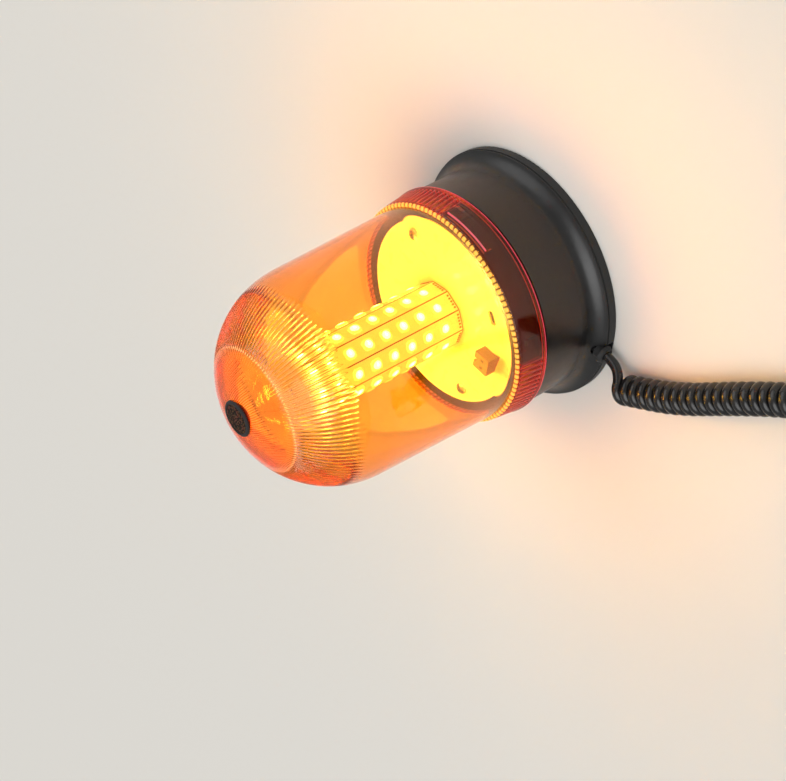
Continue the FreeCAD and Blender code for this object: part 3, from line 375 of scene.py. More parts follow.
def sintered_ferrite():
    """Ferrite, pressed and sintered, ground on its faces: charcoal grey, matt, with
    tiny pores."""
    return textured("sintered_ferrite", {"IOR": 2.0}, ("#1B1B1D", "#3A3B3E"), (0.75, 0.5),
                    mottle=pattern("Voronoi", 0.5, "Distance"), depth_mm=0.03,
                    span=(0.05, 0.4))


def sintered_vent():
    """Bronze granules sintered into a porous plug: brown beads with dark pores between
    them, each with its own small glint; the pores' darkness is painted shade."""
    # painted shade: the tone darkens from each granule's middle out into the pores between
    # them
    material = textured("sintered_bronze_vent", {"Metallic": 0.6}, ("#7A4A24", "#180D06"),
                        (0.38, 0.8), mottle=pattern("Voronoi", 0.9, "Distance"),
                        depth_mm=0.45, span=(0.1, 0.6), tone_span=(0.15, 0.6))
    tree = material.node_tree
    nodes = tree.nodes
    granules = nodes["Voronoi Texture"].outputs
    height = add_node(tree, "ShaderNodeMapRange", values=spans(0.0, 0.6, 1.0, 0.0),
                      links={0: granules["Distance"]}).outputs[0]
    tree.links.new(height, nodes["Bump"].inputs["Height"])
    base = add_node(tree, "ShaderNodeMix", data_type="RGBA", blend_type="SOFT_LIGHT",
                    values={0: 0.45}, links={6: nodes["Mix"].outputs[2],
                                             7: granules["Color"]}).outputs[2]
    tree.links.new(base, nodes["Principled BSDF"].inputs["Base Color"])
    return material


def clear_glass():
    """Soda-lime glass tube of the fuse: clear, with a faint green cast in its ends."""
    return textured("fuse_glass",
                    {"Base Color": colour("#E9F3EF"), "IOR": 1.5, "Roughness": 0.03,
                     "Transmission Weight": 0.9},
                    relief=pattern("Noise", 8.0, Detail=1.0), depth_mm=0.02)


def clear_red():
    """Polycarbonate dyed red, moulded and polished: the plug's small light pipe."""
    return textured("red_light_pipe",
                    {"IOR": 1.58, "Transmission Weight": 0.35, "Coat Weight": 0.4,
                     "Coat Roughness": 0.05},
                    ("#B4160E", "#D2261A"), (0.1, 0.2),
                    mottle=pattern("Noise", 2.0, Detail=2.0), tone_span=(0.0, 1.0))


def studio_floor(hex_floor):
    """Seamless studio paper, sized and calendered: even, matt and pale, with no edge."""
    return textured("studio_paper", {"Base Color": colour(hex_floor), "Roughness": 0.7,
                                     "Specular IOR Level": 0.3},
                    relief=pattern("Noise", 1.2, Detail=3.0), depth_mm=0.03, strength=0.3)


# ---------------------------------------------------------------- helpers
WELD_GAP = 0.000002            # metres between points that are one
SHARP = math.radians(35)       # an edge that bends more than this is rounded


def dress(material, *names):
    """Gives CAD nodes a material."""
    for name in names:
        data = NODES[name].data
        data.materials.clear()
        data.materials.append(material)


def soften(width_mm, *names, segments=2):
    """Rounds the sharp edges of CAD nodes as moulding or stamping leaves them."""
    for name in names:
        piece = NODES[name]
        weld = piece.modifiers.new("weld", "WELD")
        weld.merge_threshold = WELD_GAP
        bevel = piece.modifiers.new("edge", "BEVEL")
        bevel.width = width_mm * MM
        bevel.segments = segments
        bevel.limit_method = "ANGLE"
        bevel.angle_limit = SHARP
        bevel.harden_normals = False
        for polygon in piece.data.polygons:
            polygon.use_smooth = True
        shade = piece.modifiers.new("normals", "WEIGHTED_NORMAL")
        shade.keep_sharp = False


def link_mesh(name, bm, material, smooth_angle=35):
    """Piece from a mesh; edges sharper than the angle stay crisp."""
    mesh = bpy.data.meshes.new(name)
    bm.normal_update()
    bm.to_mesh(mesh)
    bm.free()
    for polygon in mesh.polygons:
        polygon.use_smooth = True
    mesh.set_sharp_from_angle(angle=math.radians(smooth_angle))
    mesh.materials.append(material)
    piece = bpy.data.objects.new(name, mesh)
    bpy.context.scene.collection.objects.link(piece)
    return piece


def ring_grid(bm, rows, count):
    """Closed band of quads; rows is a list of functions angle -> (r, z) in mm."""
    grid = []
    for row in rows:
        ring = []
        for k in range(count):
            angle = 2 * math.pi * k / count
            r, z = row(angle)
            ring.append(bm.verts.new((r * MM * math.cos(angle), r * MM * math.sin(angle),
                                      z * MM)))
        grid.append(ring)
    return grid


def bridge(bm, lower, upper):
    """Quads between two closed rings."""
    count = len(lower)
    for k in range(count):
        n = (k + 1) % count
        bm.faces.new((lower[k], lower[n], upper[n], upper[k]))


def smoothstep(x):
    """0 to 1 with soft ends."""
    x = min(max(x, 0.0), 1.0)
    return x * x * (3 - 2 * x)


def sector_mesh(bm, inner, outer, foot, top, start, end, steps=12):
    """Solid arc block, in mm and degrees."""
    rings = []
    corners = ((inner, foot), (outer, foot), (outer, top), (inner, top))
    for k in range(steps + 1):
        a = math.radians(start + (end - start) * k / steps)
        rings.append([bm.verts.new((r * MM * math.cos(a), r * MM * math.sin(a), z * MM))
                      for r, z in corners])
    for a, b in zip(rings, rings[1:]):
        for k in range(4):
            bm.faces.new((a[k], a[(k + 1) % 4], b[(k + 1) % 4], b[k]))
    bm.faces.new(rings[0][::-1])
    bm.faces.new(rings[-1])


def block_mesh(bm, turn, low, high):
    """Box between two corners in mm, turned into its place."""
    made = bmesh.ops.create_cube(bm, size=1.0)["verts"]
    middle = (Vector(low) + Vector(high)) / 2
    span = Vector(high) - Vector(low)
    for vert in made:
        vert.co = turn @ ((middle + Vector(a * b for a, b in zip(vert.co, span))) * MM)


def smooth_curve(name, points):
    """Curve of one NURBS spline on these control points."""
    data = bpy.data.curves.new(name, "CURVE")
    data.dimensions = "3D"
    spline = data.splines.new("NURBS")
    spline.points.add(len(points) - 1)
    for point, co in zip(spline.points, points):
        point.co = (*co, 1.0)
    spline.order_u = 3
    spline.use_endpoint_u = True
    curve = bpy.data.objects.new(name, data)
    bpy.context.scene.collection.objects.link(curve)
    return curve


def read_line(points, resolution=24):
    """Points along the smooth route."""
    curve = smooth_curve("route", points)
    curve.data.resolution_u = resolution
    bpy.context.view_layer.update()
    mesh = bpy.data.meshes.new_from_object(curve)
    line = [v.co.copy() for v in mesh.vertices]
    bpy.data.meshes.remove(mesh)
    bpy.data.objects.remove(curve)
    return line


def at_length(line, wanted):
    """Point and direction at each wanted length along a line of points."""
    found = []
    run = 0.0
    index = 0
    for a, b in zip(line, line[1:]):
        step = (b - a).length
        while index < len(wanted) and wanted[index] <= run + step:
            found.append((a.lerp(b, (wanted[index] - run) / step), (b - a).normalized()))
            index += 1
        run += step
    return found


# ---------------------------------------------------------------- camera and cord
CAMERA_AT = (-0.3734, -0.5347, 0.4606)
CAMERA_RIGHT = (-0.63345, -0.09984, -0.76732)      # the camera is rolled on its side
CAMERA_AHEAD = (0.47546, 0.73214, -0.48777)


class BEACON_OT_camera(bpy.types.Operator):
    """Place the camera"""
    bl_idname = "beacon.camera"
    bl_label = "Camera"

    def execute(self, context):
        data = bpy.data.cameras.new("camera")
        data.sensor_width, data.lens = 36.0, 73.33
        camera = bpy.data.objects.new("camera", data)
        right = Vector(CAMERA_RIGHT).normalized()
        ahead = Vector(CAMERA_AHEAD).normalized()
        up = right.cross(ahead).normalized()
        turn = Matrix((right, up, -ahead)).transposed().to_4x4()
        camera.matrix_world = Matrix.Translation(CAMERA_AT) @ turn
        context.scene.collection.objects.link(camera)
        context.scene.camera = camera
        return {"FINISHED"}


TURN_POINTS = 14       # control points in each turn of the coil
COIL_START = math.radians(25)
COIL_FROM, COIL_SHORT = 0.0035, 0.0015    # the coil's ends along its route, in metres
UNWIND = 0.013         # stretch over which the last turn opens into the tail
UNWIND_GROWTH = 0.28   # how much longer each step of that stretch gets
TAIL_SHARE = 0.12      # of the coil's radius, where it ends
CUT_CORNERS = 1.02     # the curve runs a little inside its control points
PLUG_PIECES = ["plug_upper_shell", "plug_lower_shell", "plug_nose_cap", "tip_pin",
               "plug_fuse", "spring_seat", "side_contact_left",
               "side_contact_right", "power_rocker", "mode_button", "status_lens",
               "plug_board", "plug_screws", "plug_boot"]


class BEACON_OT_cord(bpy.types.Operator):
    """Make the curly cord from the housing to the plug"""
    bl_idname = "beacon.cord"
    bl_label = "Curly cord"

    def execute(self, context):
        sizes = context.scene.beacon_sizes
        axis = read_line(COIL_ROUTE)
        total = sum((b - a).length for a, b in zip(axis, axis[1:]))
        step = sizes.coil_pitch / TURN_POINTS
        lengths = [COIL_FROM + step * k
                   for k in range(int((total - COIL_FROM - UNWIND) / step))]
        wound = len(lengths)
        while lengths[-1] < total - COIL_SHORT:
            loose = len(lengths) - wound + 1
            lengths.append(lengths[-1] + step * (1.0 + UNWIND_GROWTH * loose))
        helix = []
        for k, (point, ahead) in enumerate(at_length(axis, lengths)):
            near = Vector((-ahead.y, ahead.x, 0.0)).normalized()
            angle = COIL_START + 2 * math.pi * k / TURN_POINTS
            left = 1.0 - smoothstep((k - wound) / (len(lengths) - wound))
            r = sizes.coil_radius * CUT_CORNERS * (TAIL_SHARE + (1.0 - TAIL_SHARE) * left)
            helix.append(point + near * math.cos(angle) * r
                         + Vector((0, 0, math.sin(angle) * r)))
        cord = smooth_curve("curly_cord", LEAD_ROUTE + [tuple(p) for p in helix]
                            + TAIL_ROUTE)
        cord.data.resolution_u = 3
        cord.data.bevel_depth = sizes.cord_diameter / 2
        cord.data.bevel_resolution = 5
        cord.data.use_fill_caps = True
        cord.data.materials.append(extruded_polyurethane(context.scene.beacon_colours.cord))
        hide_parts("cord_lead", "cord_coil", "cord_tail")
        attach(cord, "base")
        [NODES[name] for name in PLUG_PIECES] + [self.spring()]
        return {"FINISHED"}

    def spring(self):
        """The fuse's spring; in the real plug it shortens as the tip is pressed in, here it
        keeps its modelled length.
        """
        mesh = NODES["fuse_spring"].data.copy()
        mesh.materials.clear()
        mesh.materials.append(plated_metal("spring_steel", "#9FA1A4", "#BDBFC2",
                                           (0.2, 0.35)))
        spring = bpy.data.objects.new("fuse_coil_spring", mesh)
        bpy.context.scene.collection.objects.link(spring)
        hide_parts("fuse_spring")
        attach(spring, "base")
        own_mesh(spring)
        return spring


# ---------------------------------------------------------------- stage
LAMPS = (("key", (-0.54, -0.15, 0.83), 1.75), ("fill", (0.61, -0.56, 0.56), 0.8))
LAMP_ANGLE = math.radians(52.0)        # as wide in the sky as a large soft box
FLOOR_REACH = 60.0                     # metres, so that its edge is never seen


class BEACON_OT_stage(bpy.types.Operator):
    """Lay the floor and set the soft lights"""
    bl_idname = "beacon.stage"
    bl_label = "Floor and lights"

    def execute(self, context):
        pale = context.scene.beacon_colours.floor
        bm = bmesh.new()
        bmesh.ops.create_grid(bm, x_segments=2, y_segments=2, size=FLOOR_REACH)
        floor = link_mesh("floor", bm, studio_floor(pale))
        for name, place, level in LAMPS:
            data = bpy.data.lights.new(name, "SUN")
            data.angle = LAMP_ANGLE
            data.energy = level
            lamp = bpy.data.objects.new(name, data)
            lamp.rotation_euler = Vector(place).to_track_quat("Z", "Y").to_euler()
            context.scene.collection.objects.link(lamp)
        # a plain room for the lighting; where it would be seen it has the floor's colour
        world = bpy.data.worlds.new("studio")
        world.use_nodes = True
        tree = world.node_tree
        tree.nodes.clear()
        room = add_node(tree, "ShaderNodeBackground",
                        values={"Color": colour("#F4F4F2"), "Strength": 0.48})
        seen = add_node(tree, "ShaderNodeBackground", values={"Color": colour(pale)})
        path = add_node(tree, "ShaderNodeLightPath")
        mix = add_node(tree, "ShaderNodeMixShader",
                       links={0: path.outputs["Is Camera Ray"],
                              1: room.outputs["Background"], 2: seen.outputs["Background"]})
        add_node(tree, "ShaderNodeOutputWorld", links={"Surface": mix.outputs["Shader"]})
        context.scene.world = world
        context.scene.view_settings.view_transform = "Standard"
        return {"FINISHED"}


# ---------------------------------------------------------------- lens
# The lens: radii and heights in mm, bearings about its axis in degrees.
WINDOW = (-168.0, -81.0)               # the smooth stretch of the skirt
BLANK_PAD = (-110.0, -82.5, 45.4, 51.7, 58.3)      # from, to, foot, top, radius
RIM = [(54.8, 39.1), (57.6, 39.1), (58.5, 39.2), (59.0, 39.6), (59.2, 40.2),
       (59.05, 40.8), (58.75, 41.3)]
REED_FOOT_R, REED_FOOT_Z, REED_FOOT_DEPTH = 58.62, 41.7, 0.15
REED_R, REED_TAPER, REED_BEND = 58.7, 1.7 / 13.2, 0.96
REED_HEIGHTS = (42.3, 43.2, 44.6, 45.3, 45.4, 47.0, 49.0, 51.0, 51.7, 51.8, 53.0)
REED_TOP, REED_TOP_SHARE, NECK = (57.05, 53.6), 0.6, (56.85, 54.1)
BEADS = [(56.55, 54.35, 0.3), (56.95, 54.75, 0.8), (56.95, 55.2, 1.0), (56.6, 55.65, 1.0),
         (56.1, 55.9, 0.9), (55.65, 55.85, 0.6), (55.4, 55.7, 0.2)]    # r, z, relief
BEAD_IN, BEAD_DOWN = 0.75, 0.45        # how far the rim dips between two beads
STEP = [(55.15, 55.8), (54.99, 56.4), (54.92, 57.0), (54.9, 57.6)]
DOME_R, DOME_Z, DOME_TAPER = 54.9, 57.6, 2.1
INNER_Z = 58.6
SPIGOT = [(53.4, 56.6), (54.8, 53.5)]
SPRING_Z, CROWN_CENTRE, CROWN_RADIUS = 122.0, 2.5, 50.3
PLAIN_CROWN = (5, 10, 14, 17, 19)
RIBS_FROM, RIBS_TO, RIB_ROWS, RIB_FADE = 21.0, 57.0, 14, 1.6
RIB_BEND, RIB_WIDTH = 0.9, 0.72        # of a half circle, and of the pitch
VENT_HOLE_R = 6.0
STEPS_PER_RIB = 8
TABS = (52.8, 54.78, 42.6, 45.2)       # inner, outer, foot, top
TAB_FROM, TAB_ARC = 35.0, 16.0


def across(degrees, pitch):
    """0 on the crest of a ridge, 1 and -1 in the valleys beside it."""
    return (degrees / pitch + 0.5) % 1.0 * 2.0 - 1.0


def hollow(place, share):
    """0 on a round bar's crest, 1 in the valley; share is how far it bends over."""
    return ((1.0 - math.sqrt(max(0.0, 1.0 - share * place * place)))
            / (1.0 - math.sqrt(1.0 - share)))


def crown_point(radius, degrees):
    """Radius and height on the crown's arc."""
    a = math.radians(degrees)
    return CROWN_CENTRE + radius * math.cos(a), SPRING_Z + radius * math.sin(a)


def plain(r, z):
    """Row that is a circle."""
    return lambda angle: (r, z)


def skirt_row(r, z, depth, pitch):
    """Row of the skirt with its reeds, its smooth window and the blank pad."""
    start, end, foot, top, out = BLANK_PAD

    def row(angle):
        degrees = math.degrees(angle)
        turn = (degrees - WINDOW[1]) % 360.0
        reeded = turn <= 360.0 - (WINDOW[1] - WINDOW[0]) + 1e-6
        value = r
        if reeded:
            value -= depth * hollow(across(turn, pitch), REED_BEND)
        if start <= (degrees + 180.0) % 360.0 - 180.0 <= end and foot <= z <= top:
            value = max(value, out)
        return value, z
    return row


def bead_row(r, z, share, pitch):
    """Row of the ring of beads on the skirt's top edge."""
    def row(angle):
        dip = share * hollow(across(math.degrees(angle), pitch), 1.0)
        return r - BEAD_IN * dip, z - BEAD_DOWN * dip
    return row


def crown_row(radius, degrees, depth, pitch):
    """Row of the shoulder: round bars with a flat groove between them."""
    def row(angle):
        bar = min(abs(across(math.degrees(angle), pitch)) / RIB_WIDTH, 1.0)
        return crown_point(radius - depth * hollow(bar, RIB_BEND), degrees)
    return row


class BEACON_OT_lens(bpy.types.Operator):
    """Make the amber lens with its ribbed shoulder and reeded skirt"""
    bl_idname = "beacon.lens"
    bl_label = "Lens"

    def execute(self, context):
        sizes = context.scene.beacon_sizes
        pitch = 360.0 / sizes.ribs
        reed = sizes.reed_depth / MM
        rib = sizes.rib_depth / MM
        wall = sizes.lens_wall / MM
        rows = [plain(r, z) for r, z in RIM]
        rows.append(skirt_row(REED_FOOT_R, REED_FOOT_Z, REED_FOOT_DEPTH, pitch))
        rows += [skirt_row(REED_R - (z - REED_FOOT_Z) * REED_TAPER, z, reed, pitch)
                 for z in REED_HEIGHTS]
        rows += [skirt_row(*REED_TOP, reed * REED_TOP_SHARE, pitch), plain(*NECK)]
        rows += [bead_row(r, z, share, pitch) for r, z, share in BEADS]
        rows += [plain(r, z) for r, z in STEP]
        rows += [plain(DOME_R - DOME_TAPER * k / 8, DOME_Z + (SPRING_Z - DOME_Z) * k / 8)
                 for k in range(1, 9)]
        rows += [plain(*crown_point(CROWN_RADIUS, degrees)) for degrees in PLAIN_CROWN]
        for k in range(RIB_ROWS + 1):
            degrees = RIBS_FROM + (RIBS_TO - RIBS_FROM) * k / RIB_ROWS
            fade = min(smoothstep(k / RIB_FADE), smoothstep((RIB_ROWS - k) / RIB_FADE))
            rows.append(crown_row(CROWN_RADIUS, degrees, rib * fade, pitch))
        inner = CROWN_RADIUS - wall
        end, inner_end = (math.degrees(math.acos((VENT_HOLE_R - CROWN_CENTRE) / radius))
                          for radius in (CROWN_RADIUS, inner))
        rows += [plain(*crown_point(CROWN_RADIUS, RIBS_TO + (end - RIBS_TO) * k / 6))
                 for k in range(1, 7)]
        rows += [plain(*crown_point(inner, inner_end * k / 12)) for k in range(12, -1, -1)]
        rows += [plain(DOME_R - wall - DOME_TAPER * k / 8,
                       INNER_Z + (SPRING_Z - INNER_Z) * k / 8) for k in range(7, -1, -1)]
        rows += [plain(r, z) for r, z in SPIGOT]
        bm = bmesh.new()
        grid = ring_grid(bm, rows, sizes.ribs * STEPS_PER_RIB)
        for lower, upper in zip(grid, grid[1:] + grid[:1]):
            bridge(bm, lower, upper)
        for k in range(3):
            start = TAB_FROM + 120.0 * k
            sector_mesh(bm, *TABS, start, start + TAB_ARC)
        lens = link_mesh("twist_off_lens", bm, amber_polycarbonate(sizes.ribs), 40)
        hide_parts("lens")
        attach(lens, "lens")
        return {"FINISHED"}


VENT_SUNK = 1.4         # how far its face lies below the solid's top, mm
VENT_FLANGE = 1.2
VENT_FACE = 0.82        # the granules' share of the rim's radius
VENT_STEPS = 96


class BEACON_OT_vent(bpy.types.Operator):
    """Dress the vent plug on top of the lens"""
    bl_idname = "beacon.vent"
    bl_label = "Vent plug"

    def execute(self, context):
        low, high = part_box("vent_plug")
        top, under, rim = high[2] / MM - VENT_SUNK, low[2] / MM, high[0] / MM
        seat = top - VENT_FLANGE
        face = rim * VENT_FACE
        ring = self.turned("vent_ring", moulded_rubber("vent_rubber", "#0A0605", "#150D09"),
                           [(5.4, under), (6.9, under + 1.4), (VENT_HOLE_R, under + 1.8),
                            (VENT_HOLE_R, seat), (rim, seat), (rim, seat + 0.4),
                            (rim - 0.12, seat + 0.7), (rim - 0.4, seat + 1.0),
                            (rim - 0.85, top - 0.04), (face + 0.3, top),
                            (face, top - 0.12), (face, top - 0.7)])
        plug = self.turned("vent_granules", sintered_vent(),
                           [(face - 0.02, top - 0.7), (face - 0.04, top - 0.25),
                            (face - 0.3, top - 0.08), (4.0, top - 0.03), (0.6, top)])
        for piece, node, slot in ((ring, "vent_plug", "vent_rubber"),
                                  (plug, "vent_foam", "vent_foam")):
            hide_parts(node)
            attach(piece, "lens")
        return {"FINISHED"}

    def turned(self, name, material, profile):
        """Closed body turned about the lens's axis from a profile in mm."""
        bm = bmesh.new()
        grid = ring_grid(bm, [plain(*point) for point in profile], VENT_STEPS)
        for lower, upper in zip(grid, grid[1:]):
            bridge(bm, lower, upper)
        bm.faces.new(grid[0][::-1])
        bm.faces.new(grid[-1])
        return link_mesh(name, bm, material, 50)


# ---------------------------------------------------------------- LED column
# Sizes of the column in mm, in the frame of a strip that faces along X.
STRIPS, LED_ROWS = 10, 8
STRIP_AT = -8.5                        # bearing of the first strip, degrees
FOOT_Z, TOP_Z = 54.0, 142.0
LED_Z, LED_PITCH = 64.4, 10.33
LED_HALF, LED_FACE, LED_BACK = 2.5, 17.0, 16.02
CHAMFER, CUP_RIM, CUP_DEPTH = 0.25, 1.12, 0.22
RING_STEPS = 16
GAP = ((16.1, -0.2, FOOT_Z), (16.74, 0.2, TOP_Z))       # painted shade: a dark line between two strips
# painted shade: a dark line along the foot of each strip
FOOT_SHADE_LINE = ((15.95, -4.8, FOOT_Z), (16.04, 4.8, FOOT_Z + 0.35))
JOINTS, JOINT_PITCH = 5, 1.6
RESIN = ((0.99, -0.2), (0.93, 0.02), (0.72, 0.10), (0.4, 0.16))   # share of radius, rise


class BEACON_OT_column(bpy.types.Operator):
    """Make the lit LEDs and dress the strips that carry them"""
    bl_idname = "beacon.column"
    bl_label = "LED column"

    def execute(self, context):
        colours = context.scene.beacon_colours
        window = context.scene.beacon_sizes.led_window / MM
        frames, resin, joints = bmesh.new(), bmesh.new(), bmesh.new()
        for strip in range(STRIPS):
            turn = Matrix.Rotation(math.radians(STRIP_AT + 360.0 * strip / STRIPS), 4, "Z")
            for row in range(LED_ROWS):
                z = LED_Z + LED_PITCH * row
                self.package(frames, turn, z, window)
                self.resin_dome(resin, turn, z, window)
            # painted shade lines at the strip's foot and in the gap beside it; the solder
            # joints that follow are real
            block_mesh(joints, turn, *FOOT_SHADE_LINE)
            block_mesh(joints, Matrix.Rotation(math.pi / STRIPS, 4, "Z") @ turn, *GAP)
            for k in range(JOINTS):
                y = JOINT_PITCH * (k - (JOINTS - 1) / 2)
                block_mesh(joints, turn, (15.95, y - 0.35, FOOT_Z + 1.0),
                           (16.2, y + 0.35, FOOT_Z + 1.9))
        case = link_mesh("led_frames", frames, led_package_plastic(), 30)
        level = colours.glow_level
        lit = link_mesh("led_resin", resin,
                        lit_resin("lit_led_resin", colours.glow, level), 60)
        lit.data.materials.append(lit_resin("lit_led_chip", colours.core, level))
        # one material for the real solder joints and the painted shade lines
        solder = link_mesh("strip_solder_joints_and_painted_shade", joints,
                           plated_metal("fluxed_solder_and_painted_shade", "#33200C", "#4A3014", (0.35, 0.5)))
        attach(solder, "base")
        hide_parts("strip_leds")
        for piece in (case, lit):
            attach(piece, "base")
        dress(solder_mask("strip_solder_mask_painted_glow", "#ECEAE1", colours.solder_mask),
              *[f"led_strip_{k:02d}" for k in range(1, STRIPS + 1)])
        dress(moulded_plastic("white_abs", "#D8D7D2", "#E4E3DF", (0.35, 0.5), 0.5, 0.01),
              "tower_cap")
        # painted shade: the core is made dark brown so that the gaps between the strips
        # read dark
        dress(moulded_plastic("brown_abs_painted_shade", "#140A04", "#1E1008", (0.5, 0.65), 0.5, 0.01),
              "tower_core")
        soften(0.25, "tower_cap")
        return {"FINISHED"}

    def ring(self, bm, turn, out, z, size, start=0.0, square=False):
        """Ring of vertices on a strip: a circle, or a square with its steps on rays."""
        made = []
        for k in range(RING_STEPS):
            angle = 2 * math.pi * (k + start) / RING_STEPS
            y, h = math.cos(angle), math.sin(angle)
            scale = size / max(abs(y), abs(h)) if square else size
            made.append(bm.verts.new(turn @ (Vector((out, y * scale, z + h * scale)) * MM)))
        return made

    def package(self, bm, turn, z, window):
        """Square frame with a round reflector cup sunk in its face."""
        rings = [self.ring(bm, turn, out, z, size, 0.5, square)
                 for size, out, square in (
                     (LED_HALF, LED_BACK, True), (LED_HALF, LED_FACE - CHAMFER, True),
                     (LED_HALF - CHAMFER, LED_FACE, True),
                     (window * CUP_RIM, LED_FACE, False),
                     (window, LED_FACE - CUP_DEPTH, False))]
        for lower, upper in zip(rings, rings[1:]):
            bridge(bm, lower, upper)

    def resin_dome(self, bm, turn, z, window):
        """Low dome of resin that fills the cup, with the chip's bright spot on top."""
        rings = [self.ring(bm, turn, LED_FACE + rise, z, window * share)
                 for share, rise in RESIN]
        for lower, upper in zip(rings, rings[1:]):
            bridge(bm, lower, upper)
        for face in rings[-1][0].link_faces:
            face.material_index = 1
        bm.faces.new(rings[-1]).material_index = 1


# ---------------------------------------------------------------- board
SLOT_AT = math.radians(-144.8)
SLOT_IN = 9.0                          # from the board's edge to its slot, mm


class BEACON_OT_board(bpy.types.Operator):
    """Dress the round board, its screws, header and driver parts"""
    bl_idname = "beacon.board"
    bl_label = "Round board"

    def execute(self, context):
        colours = context.scene.beacon_colours
        dress(solder_mask("board_solder_mask_painted_glow", "#ECEAE1", colours.solder_mask, 1.0, 0.045),
              "main_board", "plug_board")
        soften(0.12, "main_board", segments=1)
        steel = plated_metal("zinc_plated_steel", "#B7B9BC", "#D5D7DA")
        dress(steel, "board_screws", "tower_screws", "clamp_screws", "magnet_screw",
              "magnet_nut", "plug_screws", "steel_cup")
        soften(0.12, "board_screws", "tower_screws", "clamp_screws", "plug_screws")
        soften(0.3, "magnet_screw", "magnet_nut")
        soften(0.5, "steel_cup")
        dress(moulded_plastic("natural_nylon", "#DAD6C8", "#E8E4D6", (0.4, 0.55),
                              0.4, 0.01), "cable_clamp")
        dress(moulded_plastic("tan_nylon", "#6E5A2A", "#7C6832", (0.35, 0.5), 0.4, 0.01),
              "header_housing")
        soften(0.18, "header_housing", "cable_clamp")
        dress(plated_metal("tinned_brass", "#C9C7C0", "#DEDCD6", (0.2, 0.35)),
              "header_pins")
        # painted shade: dark blocks in two openings on top of the header, and in the slot
        # in the board, where there is only shade
        holes = bmesh.new()
        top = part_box("header_housing")[1][2] / MM
        for y in (-2.2, 2.2):
            block_mesh(holes, Matrix(), (-37.5, y - 0.8, top - 0.3),
                       (-35.7, y + 0.8, top + 0.03))
        low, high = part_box("main_board")
        r, z = high[0] / MM - SLOT_IN, low[2] / MM
        block_mesh(holes, Matrix.Rotation(SLOT_AT, 4, "Z"),
                   (r - 1.3, -2.6, z + 0.3), (r + 1.3, 2.6, z + 0.9))
        dark = link_mesh("painted_shade_blocks", holes,
                         moulded_plastic("socket_shadow", "#1A0E05", "#241407",
                                         (0.6, 0.8), 0.4, 0.01))
        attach(dark, "base")
        dress(moulded_plastic("chip_epoxy", "#121213", "#1D1D1F", (0.45, 0.6), 0.2, 0.01),
              "power_transistors", "controller_chip")
        dress(moulded_plastic("capacitor_sleeve", "#12161F", "#1B2230", (0.25, 0.35),
                              2.0, 0.01), "storage_capacitor")
        dress(sintered_ferrite(), "power_choke", "magnet_ring")
        soften(0.15, "power_transistors", "controller_chip", "power_choke")
        soften(0.6, "magnet_ring")
        return {"FINISHED"}


# ---------------------------------------------------------------- base
class BEACON_OT_base(bpy.types.Operator):
    """Dress the housing, its rubber foot and the lead's entry"""
    bl_idname = "beacon.base"
    bl_label = "Base"

    def execute(self, context):
        colours = context.scene.beacon_colours
        dress(moulded_plastic("black_abs", colours.housing, "#141415"), "base_housing")
        rubber = moulded_rubber("black_rubber", colours.rubber, "#1A1A1B")
        dress(rubber, "rubber_foot", "lens_seal", "cord_gland", "plug_boot")
        soften(0.3, "base_housing", "rubber_foot")
        soften(0.2, "lens_seal", "cord_gland", "plug_boot")
        dress(extruded_polyurethane(colours.cord), "inner_cable")
        dress(moulded_plastic("wire_pvc", "#8C0E0E", "#A51512", (0.3, 0.4), 3.0, 0.004),
              "supply_wires")
        return {"FINISHED"}


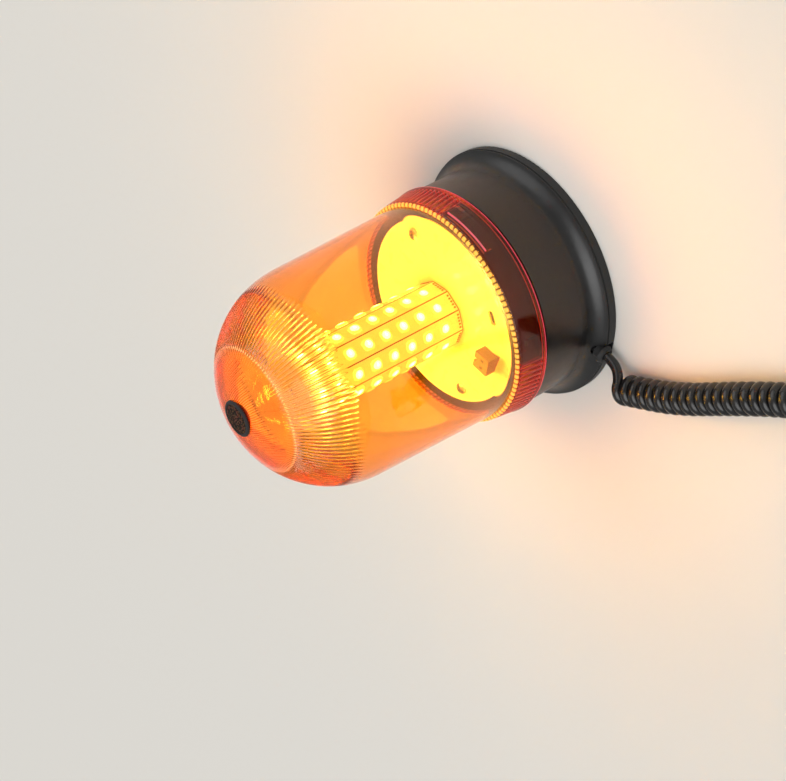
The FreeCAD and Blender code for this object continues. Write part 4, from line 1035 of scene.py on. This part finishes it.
# ---------------------------------------------------------------- plug
class BEACON_OT_plug(bpy.types.Operator):
    """Dress the accessory plug and what is in it"""
    bl_idname = "beacon.plug"
    bl_label = "Plug"

    def execute(self, context):
        shell = moulded_plastic("plug_polycarbonate", "#141415", "#202022", (0.36, 0.5),
                            0.3, 0.02)
        dress(shell, "plug_upper_shell", "plug_lower_shell", "plug_nose_cap")
        soften(0.35, "plug_upper_shell", "plug_lower_shell", "plug_nose_cap")
        nickel = plated_metal("nickel_plated_brass", "#C8C4B8", "#DDD9CE", (0.14, 0.26))
        dress(nickel, "tip_pin", "spring_seat", "side_contact_left", "side_contact_right")
        soften(0.15, "side_contact_left", "side_contact_right")
        dress(clear_glass(), "plug_fuse")
        dress(moulded_plastic("gloss_abs", "#101011", "#19191A", (0.12, 0.22), 0.8, 0.006),
              "power_rocker")
        soften(0.5, "power_rocker", segments=3)
        dress(moulded_plastic("red_abs", "#9E1712", "#B3201A", (0.18, 0.3), 0.8, 0.006),
              "mode_button")
        dress(clear_red(), "status_lens")
        return {"FINISHED"}


# ---------------------------------------------------------------- panel
class BEACON_PT_panel(bpy.types.Panel):
    """Sizes, colours and pieces of the beacon"""
    bl_idname = "BEACON_PT_panel"
    bl_label = "Beacon"
    bl_space_type = "VIEW_3D"
    bl_region_type = "UI"
    bl_category = "Beacon"

    def draw(self, context):
        for group in (context.scene.beacon_sizes, context.scene.beacon_colours):
            box = self.layout.box()
            for name in group.__annotations__:
                box.prop(group, name)
        for operator in OPERATORS:
            self.layout.operator(operator.bl_idname)


OPERATORS = (BEACON_OT_camera, BEACON_OT_cord, BEACON_OT_stage, BEACON_OT_base,
             BEACON_OT_lens, BEACON_OT_vent, BEACON_OT_column, BEACON_OT_board,
             BEACON_OT_plug)
CLASSES = (BeaconSizes, BeaconColours) + OPERATORS + (BEACON_PT_panel,)


def register():
    for cls in CLASSES:
        bpy.utils.register_class(cls)
    bpy.types.Scene.beacon_sizes = PointerProperty(type=BeaconSizes)
    bpy.types.Scene.beacon_colours = PointerProperty(type=BeaconColours)


def unregister():
    del bpy.types.Scene.beacon_colours
    del bpy.types.Scene.beacon_sizes
    for cls in reversed(CLASSES):
        bpy.utils.unregister_class(cls)


def main():
    """Builds the scene."""
    register()
    for operator in OPERATORS:
        group, name = operator.bl_idname.split(".")
        getattr(getattr(bpy.ops, group), name)()


if __name__ == "__main__":
    main()
